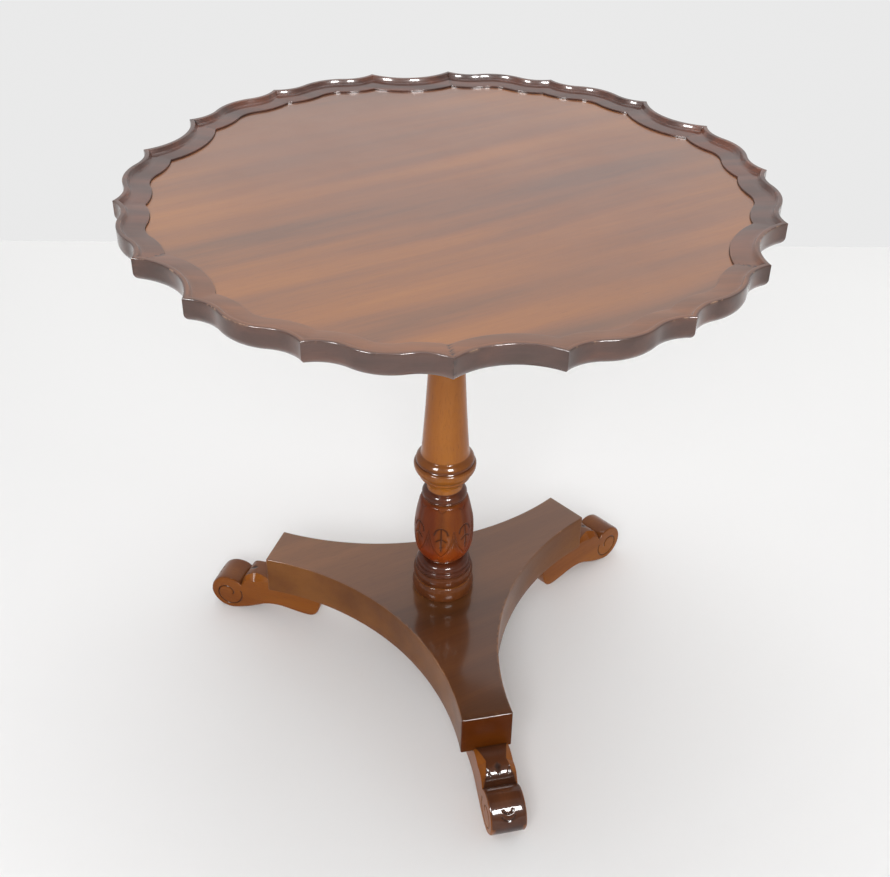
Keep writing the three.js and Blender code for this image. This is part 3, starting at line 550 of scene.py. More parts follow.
def metal(name, look):
    # Brushed and handled metal: cloudy colour and roughness, fine scratches in the bump.
    material, tree, shader = newMaterial(name)
    place = addNode(tree, "TexCoord").outputs["Object"]
    cloud = noise(tree, place, 90.0, 4.0)["Fac"]
    brushed = streaks(tree, place, (60, 2200), 2.0)
    bump = addNode(tree, "Bump", {"Height": brushed, "Strength": 0.15, "Distance": 0.0002})
    fill(tree, shader, {
        "Base Color": colourRamp(tree, cloud, (0.38, 0.62), look["colours"]), "Metallic": 1.0,
        "Roughness": spread(tree, cloud, 0.3, 0.7, look["roughness"] + 0.12, look["roughness"]),
        "Normal": bump.outputs["Normal"]})
    return material


metalLooks = {
    "brassMetal": {"colours": [(420, 280, 110), (700, 500, 220)], "roughness": 0.28},
    "steelMetal": {"colours": [(300, 290, 280), (520, 510, 500)], "roughness": 0.32},
}

finishes = {name: polishedWood(name, {**baseWood, **look}) for name, look in woodLooks.items()}
finishes.update({name: metal(name, look) for name, look in metalLooks.items()})
print("finishes:", ", ".join(sorted(finishes)))


edgeSet = {
    "radius": 330.0,        # centre to the points of the scallops
    "repeats": 6,
    "plainAngle": 16.1,
    "plainDepth": 20.8,     # deepest point of a plain scallop
    "crownSet": 1.2,        # crown of a bracket scallop, in from the points
    "crownRadius": 60.0, "hollowRadius": 42.0,
    "plainSteps": 22, "hollowSteps": 14, "crownSteps": 18,
}


def circleCross(centre0, radius0, centre1, radius1, further):
    # Where two circles cross: along the line of centres, then square to it, further out or further in.
    gap = centre1 - centre0
    span = norm(gap)
    along = (span ** 2 + radius0 ** 2 - radius1 ** 2) / (2 * span)
    rise = np.sqrt(np.maximum(np.square(radius0) - along ** 2, 0))
    foot = centre0 + np.multiply.outer(along, gap / span)
    side = np.multiply.outer(rise, np.array([-gap[1], gap[0]]) / span)
    a, b = foot + side, foot - side
    outer = norm(a, axis=-1, keepdims=True) > norm(b, axis=-1, keepdims=True)
    return np.where(outer == further, a, b)


def edgeArcs(values):
    # Arcs round the edge: centre, radius, whether it grows or shrinks as it is drawn in, end and steps. A
    # repeat is a plain and two bracket scallops, and a bracket a hollow, a crown and a hollow run together.
    radius, plainAngle = values["radius"], values["plainAngle"]
    crownRadius, hollowRadius = values["crownRadius"], values["hollowRadius"]
    half = math.radians(plainAngle / 2)
    chord = radius * math.sin(half)
    sag = values["plainDepth"] - radius * (1 - math.cos(half))
    plainRadius = (chord ** 2 + sag ** 2) / (2 * sag)
    repeat = 360 / values["repeats"]
    bracket = (repeat - plainAngle) / 2
    reach = crownRadius + hollowRadius
    rows = []
    for k in range(values["repeats"]):
        start = k * repeat
        middle = polar(radius - values["plainDepth"] + plainRadius, start + plainAngle / 2)
        rows.append((middle, plainRadius, 1, polar(radius, start + plainAngle), values["plainSteps"]))
        for low in (start + plainAngle, start + plainAngle + bracket):
            ends = polar(radius, low), polar(radius, low + bracket)
            crown = polar(radius - values["crownSet"] - crownRadius, low + bracket / 2)
            hollows = [circleCross(crown, reach, end, hollowRadius, True) for end in ends]
            turns = [crown + (h - crown) * crownRadius / reach for h in hollows]
            rows += [(hollows[0], hollowRadius, 1, turns[0], values["hollowSteps"]),
                     (crown, crownRadius, -1, turns[1], values["crownSteps"]),
                     (hollows[1], hollowRadius, 1, ends[1], values["hollowSteps"])]
    return rows


arcs = edgeArcs(edgeSet)


def meeting(index, depth):
    # Where one arc gives way to the next when both are drawn in by a depth.
    (centre, radius, grows, end, _), after = arcs[index], arcs[(index + 1) % len(arcs)]
    radius = radius + grows * depth
    if grows > 0 and after[2] > 0:
        return circleCross(centre, radius, after[0], after[1] + depth, False)
    return centre + np.multiply.outer(radius, (end - centre) / norm(end - centre))


def arcSheet(index, depth, startTrim=0.0, endTrim=0.0):
    # Points of an arc drawn in by each depth: steps along the arc in rows, depths in columns.
    centre, radius, grows, _, steps = arcs[index]
    radius = radius + grows * depth
    first = meeting(index - 1, depth) - centre
    last = meeting(index, depth) - centre
    start = np.arctan2(first[:, 1], first[:, 0])
    turn = (np.arctan2(last[:, 1], last[:, 0]) - start + np.pi) % (2 * np.pi) - np.pi
    sense = np.sign(turn)
    start = start + sense * startTrim / radius
    turn = turn - sense * (startTrim + endTrim) / radius
    angle = start + turn * np.linspace(0, 1, steps + 1)[:, None]
    return centre + radius[:, None] * np.stack([np.cos(angle), np.sin(angle)], -1)


undersideZ, panelTopZ = (corner[2] for corner in nodeBox("top_panel"))

rimSet = {
    "joint": 0.02,          # half the glue line between two segments
    "depth": 24.0, "width": 26.4, "lipWidth": 4.4, "coveEnd": 13.0, "coveDrop": 5.0, "innerHeight": 18.0,
    "edgeRound": 9.0, "outerEase": 0.9, "lipEase": 0.7, "innerEase": 0.3,
    "ledgeHeight": 5.0, "ledgeEnd": 34.4,
    # the pale edge spots are partly wear and partly a painted glint along the lip
    "wearAndGlint": [(0.25, -0.25, 0.55, 1.0), (4.3, -0.2, 0.5, 0.3)],    # depth in, rise from the top, reach, amount
    "line": (10.0, 0.9),        # where the painted shade up the inner wall starts, and how dark it is
    "band": (0.3, 3.0, 15.0),   # depths over which the tone of the top comes in, and the height it starts at
    "litSideWay": (0.50, 0.87),    # away from the side towards the viewer, which is painted paler as painted light
    "litSideFade": (0.15, 0.8),    # shares of the radius towards that side over which it comes in
    "endShade": 0.6,
}


def rimSection(values):
    # Closed section as depth in from the edge and height above the underside, from the ledge round the
    # outside and over the lip into the cove.
    d, w, high, low = values["depth"], values["width"], values["innerHeight"], values["edgeRound"]
    outer, ease, inner = values["outerEase"], values["lipEase"], values["innerEase"]
    lip, coveEnd, coveLow = values["lipWidth"], values["coveEnd"], d - values["coveDrop"]
    ledge, end = values["ledgeHeight"], values["ledgeEnd"]
    return joined(
        [(end, 0)], ((low, 0), 6), arc((low, low), low, 270, 180, 12), ((0, d - outer), 7),
        arc((outer, d - outer), outer, 180, 90, 5), ((lip - ease, d), 4),
        ((lip, d), (lip + 0.45, d - ease), 6), ((lip + 1.2, coveLow + 2.4), (lip + 2.3, coveLow + 0.75), 14),
        curve((lip + 2.35, coveLow + 0.68), (lip + 3.0, coveLow + 0.05), (coveEnd, coveLow), 14),
        ((coveEnd + 6, coveLow - 0.3), (w - inner, high), 12),
        ((w, high), (w, high - inner), 4), ((w, ledge), 6), ((end, ledge), 2), ((end, 0.01), 3))


def makeRim(repeat, values):
    # The section is carried along one repeat of the edge; each corner of it follows the edge drawn in by its
    # depth. An end is closed by the section's own line drawn together on its middle.
    section = rimSection(values)
    depth, rise = section[:, 0], section[:, 1]
    perRepeat = len(arcs) // edgeSet["repeats"]
    lines = []
    for i in range(perRepeat):
        trims = [values["joint"] if i == end else 0.0 for end in (0, perRepeat - 1)]
        lines.append(arcSheet(repeat * perRepeat + i, depth, *trims)[min(i, 1):])
    plan = np.concatenate(lines)
    points = atHeight(plan, rise + undersideZ)
    edge = nearSpots(depth, rise - values["depth"], values["wearAndGlint"])
    # Painted shade up the inner wall, where the rim steps down to the panel.
    lineFoot, lineShade = values["line"]
    innerWall = np.abs(depth - values["width"]) < 0.02
    line = innerWall * (rise > lineFoot) * (rise < values["innerHeight"] - values["innerEase"])
    *bandFade, bandFoot = values["band"]
    band = fade(depth, *bandFade) * (rise > bandFoot)
    # Painted light: the side of the rim towards the viewer takes the paler tone.
    near = -(plan @ np.array(values["litSideWay"])) / edgeSet["radius"]
    sheets = [sheet(points, False, True, edge=edge[None], shade=lineShade * line[None],
                    band=band[None], pale=fade(near, *values["litSideFade"]) * band)]
    for ring in (points[0], points[-1]):
        cap = np.stack([ring, np.broadcast_to(ring.mean(0), ring.shape)])
        sheets.append(sheet(cap, False, True, shade=values["endShade"]))
    piece = makeObject(f"rimSegment{repeat + 1}", sheets, fold=34)
    finishPiece(piece, "top", "rim_wood", f"rim_segment_{repeat + 1}", "rimWood")


for k in range(edgeSet["repeats"]):
    makeRim(k, rimSet)
print("rim: 6 segments")


panelSet = {
    "gap": 0.12, "ledgeGap": 0.12,  # panel to rim
    "ease": 0.35,                   # round on the panel's upper edge
    "rings": 24,
    "border": (6.0, 1.2),           # last rings of the face, in from its edge
    "warmWay": (-0.75, -0.66),      # towards the side where the wood is more orange
    "warmFade": (-0.1, 0.85),       # shares of the radius that way over which it comes in
    "rimWarm": (0.5, 0.6, 0.95),    # how orange it is towards the rim, and where that comes in
    "calmSpots": [(-60, 200, 150, 1.0), (210, 90, 90, 0.6), (40, -250, 90, 0.6)],   # x, y, reach, strength
    "underLimit": -0.5,             # faces turned further down than this take the underside's finish
}


def makePanel(values):
    # Rings from the middle out to the edge drawn in under the rim, over the eased edge, down the side,
    # in along the rebate, down its wall and back to the middle underneath.
    edge = rimSet["width"] + values["gap"]
    rebate = rimSet["ledgeEnd"] + values["gap"]
    ledge = undersideZ + rimSet["ledgeHeight"] + values["ledgeGap"]
    ease = values["ease"]
    # Painted shade: the shade rises from the eased edge down the side, into the gap under the rim.
    rings = [(edge + ease + b, panelTopZ, 0) for b in values["border"]]      # depth, height and shade
    rings += [(edge + ease, panelTopZ, 0.1), (edge + 0.3 * ease, panelTopZ - 0.3 * ease, 0.6),
              (edge, panelTopZ - ease, 1), (edge, panelTopZ - 4, 1), (edge, ledge, 1), (rebate, ledge, 1),
              (rebate, undersideZ, 0)]
    depths, heights, shade = np.array(rings).T
    outline = atHeight(np.concatenate([arcSheet(i, depths)[:-1] for i in range(len(arcs))]), heights)
    share = np.linspace(0, 1, values["rings"])[None, :, None] ** 0.8
    face = atHeight((outline[:, :1] * share)[..., :2], panelTopZ)
    under = atHeight((outline[:, -1:] * share[:, ::-1])[..., :2], undersideZ)
    sheets = []
    for points, marks in ((face, {}), (outline, {"shade": shade[None]}), (under, {})):
        plan = points[..., :2]
        side = plan @ np.array(values["warmWay"]) / edgeSet["radius"]
        out = norm(plan, axis=-1) / edgeSet["radius"]
        outer, *rimFade = values["rimWarm"]
        warm = np.clip(fade(side, *values["warmFade"]) + outer * fade(out, *rimFade), 0, 1)
        calm = nearSpots(plan[..., 0], plan[..., 1], values["calmSpots"])
        sheets.append(sheet(points, True, warm=warm, calm=np.clip(calm, 0, 1), **marks))
    piece = makeObject("panel", sheets, fold=34)
    finishPiece(piece, "top", "panel_wood", "top_panel", "panelWood", "undersideWood")
    finishBelow(piece, values["underLimit"])


makePanel(panelSet)
print("panel")


def turnedSheet(profile, angles):
    # A profile of radius and height turned about an upright axis: directions in rows, profile in columns.
    return atHeight(profile[None, :, :1] * polar(1, np.degrees(angles))[:, None], profile[:, 1])


def roundAngles(sides):
    # Even directions all the way round.
    return np.linspace(0, 2 * np.pi, sides, endpoint=False)


def recess(profile, reach, deep):
    # How far each point of a profile lies inside the line smoothed over the reach, 1 where it is deep.
    step = 0.2
    run = lengthAlong(profile)
    at = np.arange(0, run[-1], step)
    radius = np.interp(at, run, profile[:, 0])
    width = int(reach / step)
    kernel = np.hanning(2 * width + 3)[1:-1]
    smoothed = np.convolve(np.pad(radius, width, mode="edge"), kernel / kernel.sum(), "valid")
    return np.clip(np.interp(run, at, smoothed - radius) / deep, 0, 1)


columnSet = {
    "sides": 238, "leaves": 7,
    "inside": 20,            # points nearer the axis than this are hidden in the joints
    "leafStart": -126.0,     # direction of one leaf's vein
    "vase": (158.8, 244.6), "vaseRadius": 35, "cutDepth": 0.95, "cutWidth": 0.92,
    "hollow": (0.25, 206, 222, 232, 242),    # depth between the leaves, and where it comes and goes
    "swell": (0.12, 162, 182, 212, 226),     # rise of each leaf, and where it comes and goes
    "recessShade": (1.4, 0.55, 0.8),         # reach, full depth and strength of the painted shade in recesses
    "cutShade": 0.95, "blur": 0.6,           # painted shade in the cuts, and the fade at each end of a tone
    "tones": {               # lowest and highest point of each tone, and how strong it is
        # painted shade on the beads, collar, lip and rings under the top
        "bead": [(105, 124.9, 0.82), (124.9, 141.2, 0.9), (141.2, 157.5, 1.0), (245, 258.8, 0.95),
                 (279.4, 283.0, 0.4), (281.0, 295.5, 0.25), (295.5, 301.0, 0.75), (293.8, 308.0, 0.45)],
        "vase": [(157.5, 245.0, 1.0), (274.0, 279.4, 0.35)],
        "dull": [(157.5, 244.0, 0.8), (105, 157.5, 0.35)],
    },
    "red": (157.5, 172, 200),    # the foot of the vase is redder from here and up to where this fades out
}


def columnProfile():
    # Up from the lower tenon: two rings, fillet, shoulder, vase, collar, neck, cup, lip, taper and capital.
    base = nodeBox("platform")[1][2]
    low, high = (corner[2] for corner in nodeBox("column"))
    seat = nodeBox("tilt_block")[0][2]
    return joined(
        [(0, low)], ((16.2, low), 4), curve((17, low + 0.8), (17, base), 3),
        curve((17.2, base), (35.6, base), 3), bulge((36.2, base + 0.3), (35.3, 122.6), 1.5, 18),
        ((34.9, 124.7), (33.5, 124.9), 6), [(33.1, 125.2), (33.1, 126.2)],
        bulge((34.3, 126.6), (34.2, 140.2), 1.7, 16), [(33.1, 140.6), (32.9, 141.5)],
        bulge((33.5, 141.9), (32.4, 146.2), 0.55, 8), [(31.5, 146.6), (31.4, 147.1)],
        curve((32.0, 147.4), (32.2, 152.4), (29.4, 156.0), (24.0, 156.6), 18),
        ((22.7, 156.8), (22.6, 157.4), 4), ((22.6, 158.2), (23.6, 158.7), 4),
        through([(23.6, 158.7), (27.6, 162.4), (31.8, 169.0), (34.4, 178.5), (35.4, 190.8), (35.3, 203.4),
                 (34.1, 216.0), (32.0, 228.0), (29.8, 237.6), (28.0, 242.4), (25.5, 244.7)], 12),
        [(24.6, 245.0), (24.6, 245.5)], bulge((25.2, 245.8), (25.5, 248.0), 0.4, 6),
        [(25.2, 248.3), (25.7, 248.5)],
        through([(25.9, 248.6), (26.5, 250.6), (26.0, 253.0), (24.4, 255.6), (21.9, 257.6)], 7),
        [(21.2, 257.9), (21.1, 258.5)], ((20.2, 264.5), (22.0, 270.5), (27.6, 274.0), 16),
        [(28.1, 274.3), (28.4, 274.6)], bulge((28.7, 274.8), (30.8, 279.2), 0.5, 8),
        [(30.7, 279.8), (31.0, 280.5)],
        through([(31.9, 281.0), (34.3, 284.6), (36.0, 288.6), (36.3, 292.0), (35.8, 294.3),
                 (34.3, 295.9)], 7),
        curve((33.5, 296.1), (33.0, 296.8), 3), [(33.2, 297.3), (33.8, 297.7)],
        through([(33.8, 297.7), (34.0, 299.2), (33.3, 301.6), (31.6, 304.1), (29.9, 305.8), (28.5, 307.2),
                 (27.9, 309.6), (27.4, 313.0), (27.2, 317.0)], 7),
        ((20.9, 395.0), (16.2, 523.7), 24), bulge((16.4, 524.0), (16.6, 531.8), 2.4, 12),
        curve((16.4, 532.2), (17.0, 562.0), (27.5, 567.8), 16),
        ((29.0, 568.6), (29.0, 570.0), 4), ((29.0, seat - 1.5), 5),
        ((29.0, seat - 0.05), (27.5, seat - 0.05), 4), ((15.2, seat - 0.05), 3),
        curve((15, seat), (15, high - 0.5), 3), curve((14.5, high), (0, high), 4))


def leafCuts(half):
    # Lines of distance across from the vein and height, with a depth, width and darkness each, the darkness
    # being
    # painted shade in the cut: vein, hollow above it, umbrella, lower bow, tick and top scallop, then an
    # outline and an inner line on each side.
    cuts = [
        (curve((0, 217.0), (0, 186.0), 4), 1.0, 0.85, 1.0),
        (curve((0, 238.0), (0, 222.0), 4), 0.45, 3.6, 0.3),
        (through([(-8.4, 209.5), (-6.6, 214.4), (-3.3, 217.3), (0, 218.3), (3.3, 217.3), (6.6, 214.4),
                  (8.4, 209.5)], 6), 1.2, 0.95, 1.0),
        (through([(-5.8, 199.8), (-3.0, 202.4), (0, 203.3), (3.0, 202.4), (5.8, 199.8)], 6), 1.1, 0.9, 1.0),
        (curve((-1.6, 191.5), (1.8, 192.2), 3), 0.8, 0.8, 0.9),
        (through([(-5.4, 241.6), (-2.4, 239.2), (0, 238.2), (2.4, 239.2), (5.4, 241.6)], 6), 0.6, 0.9, 0.5),
    ]
    outline = [(half, 213.0), (half - 1.4, 206.5), (half - 3.8, 196.5), (half - 7.8, 186.5), (0.8, 176.0)]
    inner = [(half, 203.0), (half - 1.1, 197.0), (half - 2.8, 190.0)]
    for side in ((-1, 1), (1, 1)):
        cuts.append((through(np.multiply(outline, side), 8), 0.9, 0.65, 0.5))
        cuts.append((through(np.multiply(inner, side), 6), 0.45, 0.7, 0.5))
    return cuts


def zone(height, low, lowEnd, highStart, high):
    # 1 between two heights and 0 beyond them, with a fade at each end.
    return fade(height, low, lowEnd) * (1 - fade(height, highStart, high))


def makeColumn(values):
    # The profile turned about the axis, less the cuts of the leaves: each cut lowers the surface by its depth
    # times a bell curve of the distance from it.
    profile = columnProfile()
    height = profile[:, 1]
    outside = profile[:, 0] > values["inside"]
    angles = roundAngles(values["sides"])
    depth = np.zeros((len(angles), len(profile)))
    inVase = (height > values["vase"][0]) & (height < values["vase"][1]) & outside
    spacing = 2 * np.pi / values["leaves"]
    fromVein = (angles - math.radians(values["leafStart"]) + spacing / 2) % spacing - spacing / 2
    x = np.broadcast_to(fromVein[:, None] * values["vaseRadius"], (len(angles), inVase.sum()))
    z = np.broadcast_to(height[None, inVase], x.shape)
    cut, dark = np.zeros(x.shape), np.zeros(x.shape)
    for path, share, width, darkness in leafCuts(spacing / 2 * values["vaseRadius"]):
        line = stroke(x, z, path, values["cutWidth"] * width)
        cut = np.maximum(cut, share * line)
        dark = np.maximum(dark, darkness * line ** 0.8)
    between = 1 - np.cos(fromVein * values["leaves"])[:, None]
    hollow, swell = values["hollow"], values["swell"]
    depth[:, inVase] = (values["cutDepth"] * cut + hollow[0] * between * zone(z, *hollow[1:])
                        - swell[0] * (1 - between) * zone(z, *swell[1:]))
    points = turnedSheet(profile, angles)
    radius = np.maximum(profile[None, :, 0], 1e-6)
    points[..., :2] *= ((radius - depth) / radius)[..., None]
    # Painted shade in the recesses of the profile and in the cuts of the leaves.
    reach, deep, strength = values["recessShade"]
    shade = np.broadcast_to(strength * recess(profile, reach, deep)[None], depth.shape).copy()
    shade[:, inVase] = np.maximum(shade[:, inVase], values["cutShade"] * dark)
    blur = values["blur"]
    tones = {tone: np.max([amount * zone(height, low - blur, low + blur, high - blur, high + blur)
                           for low, high, amount in zones], 0)[None] * outside
             for tone, zones in values["tones"].items()}
    start, *fading = values["red"]
    tones["red"] = ((1 - fade(height, *fading)) * (height > start) * outside)[None]
    piece = makeObject("turnedColumn", [sheet(points, True, False, shade=shade, **tones)], fold=40)
    finishPiece(piece, "stand", "column_wood", "column", "columnWood")


makeColumn(columnSet)
print("column")


platformSet = {
    "reach": 225.4, "halfWidth": 29.2, "turn": 12.4, "hollow": 54.5, "hole": 17.3,
    "cornerRound": 1.8, "topEase": 0.9, "lowEase": 0.7,
    # the pale edge spots are partly wear and partly a painted glint
    "wearAndGlint": [(0.4, -0.4, 0.8, 1.0)],     # depth in, rise from the top, reach and strength
    # painted shade: the corner towards the viewer, its face and its end are drawn darker
    "darkCorner": 240,                   # the darker corner, from the first one
    "darkFace": (-10, 70), "darkEnd": (217, 223),    # how far that way the face and the end turn dark
    "sideLimit": 0.35,                   # faces that rise less than this take the sides' finish
}


def platformOutline(values):
    # Three flat ends joined by hollow arcs, with every corner eased by a short curve.
    ends = []
    for a in (values["turn"] + 120 * k for k in range(3)):
        ends.append([polar(values["reach"], a) + polar(s * values["halfWidth"], a + 90) for s in (-1, 1)])
    sides = [bulge(ends[k][1], ends[(k + 1) % 3][0], -values["hollow"], 400) for k in range(3)]
    e = values["cornerRound"]
    lines = []
    for k, (low, high) in enumerate(ends):
        side = sides[k]
        along = (high - low) / norm(high - low) * e
        before = resample(sides[k - 1][::-1], [e])[0]
        after = resample(side, [e])[0]
        lines += [curve(before, low, low + along, 5), (high - along, 12), (high, after, 5),
                  resample(side, np.linspace(e, lengthAlong(side)[-1] - e, 90))]
    return joined(*lines)[:-1]


def makePlatform(values):
    # Rings from the tenon's hole out to the eased edge, down the side, in underneath and up the hole. One
    # corner is painted darker as painted shade, and its flat end is dull.
    outline = platformOutline(values)
    low, high = (corner[2] for corner in nodeBox("platform"))
    top, bottom = values["topEase"], values["lowEase"]
    section = joined(arc((top, high - top), top, 90, 180, 6), ((0, low + bottom), 8),
                     arc((bottom, low + bottom), bottom, 180, 270, 5))
    ring = outline[:, None] + inwardNormals(outline, closed=True)[:, None] * section[None, :, :1]
    wall = atHeight(ring, section[:, 1])
    hole = values["hole"] * outline / norm(outline, axis=1, keepdims=True)
    t = np.linspace(0, 1, 30)[None, :, None]
    face = atHeight(hole[:, None] * (1 - t) + ring[:, :1] * t, high)
    under = atHeight(ring[:, -1:] * (1 - t) + hole[:, None] * t, low)
    inside = np.stack([atHeight(hole, z) for z in (low, (low + high) / 2, high)], 1)
    edge = nearSpots(section[:, 0], section[:, 1] - high, values["wearAndGlint"])
    # Painted shade on the corner towards the viewer.
    darkWay = polar(1, values["turn"] + values["darkCorner"])
    shadedFace = fade(face[..., :2] @ darkWay, *values["darkFace"])
    shadedWall = fade(ring @ darkWay, *values["darkEnd"])
    piece = makeObject("platformBoard", [
        sheet(face, True, deep=shadedFace), sheet(wall, True, edge=edge[None], deep=shadedWall, dull=shadedWall),
        sheet(under, True), sheet(inside, True)], fold=40)
    finishPiece(piece, "stand", "platform_wood", "platform", "platformWood", "platformSideWood")
    finishBelow(piece, values["sideLimit"])


makePlatform(platformSet)
print("platform")

footSet = {
    "width": 40.4, "tail": 157.0,
    "face": 225.7,                 # against the platform's corner
    "slip": (-7.0, 0.0, 5.0),      # how far each foot stands to the side of its corner's middle
    "scroll": (287.0, 25.3), "scrollRadius": 25.3, "scrollTurn": 134.0,
    "volute": (18.8, 2.2, 11.0, 1.9),    # first radius, loss spread evenly, loss by a power, the power
    "eye": (1.0, -1.2), "winds": (158, 545),    # its middle from the scroll's, and where it starts and ends
    # chamfers at the stations named in footLines, from the tail to the front of the scroll
    "topChamfer": (0.8, 0.8, 0.8, 1.8, 8.4, 1.4, 1.2, 1.4, 1.6),
    "lowChamfer": (1.4, 1.4, 1.4, 1.4, 1.4, 1.4, 1.4, 1.4, 1.6),
    "darkTop": (0.5, 0.5, 0.9),    # how much darker the top of each foot is painted than its sides, as painted shade
    "sideDull": 0.75,              # how dull the sides are, all but their upper corners
    "frontShade": 0.55, "jointShade": 0.8,    # painted shade below the knee, and painted shade where the platform meets the foot
    "edgeDrop": 0.35,              # how far the top falls off towards its edges
    "sideSteps": 64, "acrossSteps": 46, "underSteps": 10,
    "cutDepth": 1.15, "cutWidth": 0.8, "bowWidth": 0.95,
    "notch": (5.2, 1.5),           # half the width and the depth of the V over the knee
    "notchRun": (20.5, 14, 1, 9),  # its end past the knee, how long it narrows, and where it comes in
    "slant": [(10, 12.6), (17, 10.2)],     # ends of the short slants, past the knee and to the side
    "bows": [(51, 5.6), (37, 7.6)],    # place on the scroll in degrees and radius of the two U cuts
}


def footLines(values):
    # Lower and upper lines of a foot's side, from the end of the tail to the front of the scroll, at matching
    # stations. Returns both lines and the number of each named station.
    r0, face, top = values["tail"], values["face"], 54.7
    centre, radius = np.array(values["scroll"]), values["scrollRadius"]
    valley = centre + polar(radius, values["scrollTurn"])
    front = centre + (radius, 0)
    lower = joined(
        [(r0, top)], ((r0 + 2, 17), (175.2, 17), 40), ((201.2, 17), (219.4, 29), (246.5, 14), 120),
        ((269.3, 3), (284, 0), 60), ((290, 0), 8),
        arc(centre, radius, -math.degrees(math.acos(3 / radius)), 0, 80))
    upper = joined(
        [(r0, top)], ((face, top), 60), ((face, 59.7), 8), ((237.7, 64.7), (249.05, 62.7), 40),
        ((259.0, 61.8), (265.2, 57.5), (267.4, 50.0), 40), curve((267.6, 49.4), valley, 10),
        arc(centre, radius, values["scrollTurn"], 0, 160))
    stations = {      # place on the lower line, place on the upper line, steps from the station before
        "tail": ((r0, top), (r0, top), 0),
        "heel": ((175.2, 17), (175.2, top), 16),
        "underFace": ((224, 21.5), (face, top), 26),
        "face": ((227, 21.0), (face, 59.7), 4),
        "knee": ((247, 13.8), (249.05, 62.7), 30),
        "valley": ((266, 5.2), valley, 40),
        "back": ((284, 0), (277.5, 48.8), 14),
        "crown": ((290, 0), (287.0, 50.6), 14),
        "front": (front, front, 70),
    }
    keys = list(stations.values())
    lines = []
    for which, path in enumerate((lower, upper)):
        run = lengthAlong(path)
        found = [run[np.argmin(norm(path - np.array(k[which]), axis=1))] for k in keys]
        stops = [np.linspace(a, b, k[2] + 1)[1:] for a, b, k in zip(found, found[1:], keys[1:])]
        lines.append(resample(path, np.concatenate([[0], *stops])))
    return *lines, dict(zip(stations, np.cumsum([k[2] for k in keys])))


def spiral(values):
    # Line of the volute: its distance from the eye shrinks as it winds down the back and round the front.
    share = np.linspace(0, 1, 120)
    start, even, last, power = values["volute"]
    radius = start - even * share - last * share ** power
    turns = np.linspace(*values["winds"], len(share))
    return np.array(values["scroll"]) + values["eye"] + polar(radius[:, None], turns)


def topCuts(across, arcRun, upper, run, knee, values):
    # Cuts by distance across and along: a V that narrows over the knee to a point on its front, a short slant
    # on either side of it, and two nested U cuts on the scroll.
    wide, deep = values["notch"]
    end, taper, *comes = values["notchRun"]
    share = np.clip((end - arcRun + knee) / taper, 0, 1) * fade(arcRun - knee, *comes)
    carve = deep * np.maximum(0, share - np.abs(across) / wide)
    # dark is painted shade: in the V here, and in each cut below
    dark = 0.85 * np.clip(1.6 * carve, 0, 1)
    cuts = []
    for degrees, radius in values["bows"]:
        spot = np.array(values["scroll"]) + polar(values["scrollRadius"], degrees)
        middle = run[np.argmin(norm(upper - spot, axis=1))]
        cuts.append((arc((middle, 0), radius, -75, 75, 30), values["bowWidth"], values["cutDepth"], 0.9))
    for side in (-1, 1):
        start, stop = (np.multiply(place, (1, side)) + (knee, 0) for place in values["slant"])
        cuts.append((curve(start, stop, 6), 0.7, 0.8, 0.8))
    for path, width, depth, darkness in cuts:
        cut = stroke(arcRun, across, path, width)
        carve = np.maximum(carve, depth * cut)
        dark = np.maximum(dark, darkness * cut)
    return carve, dark


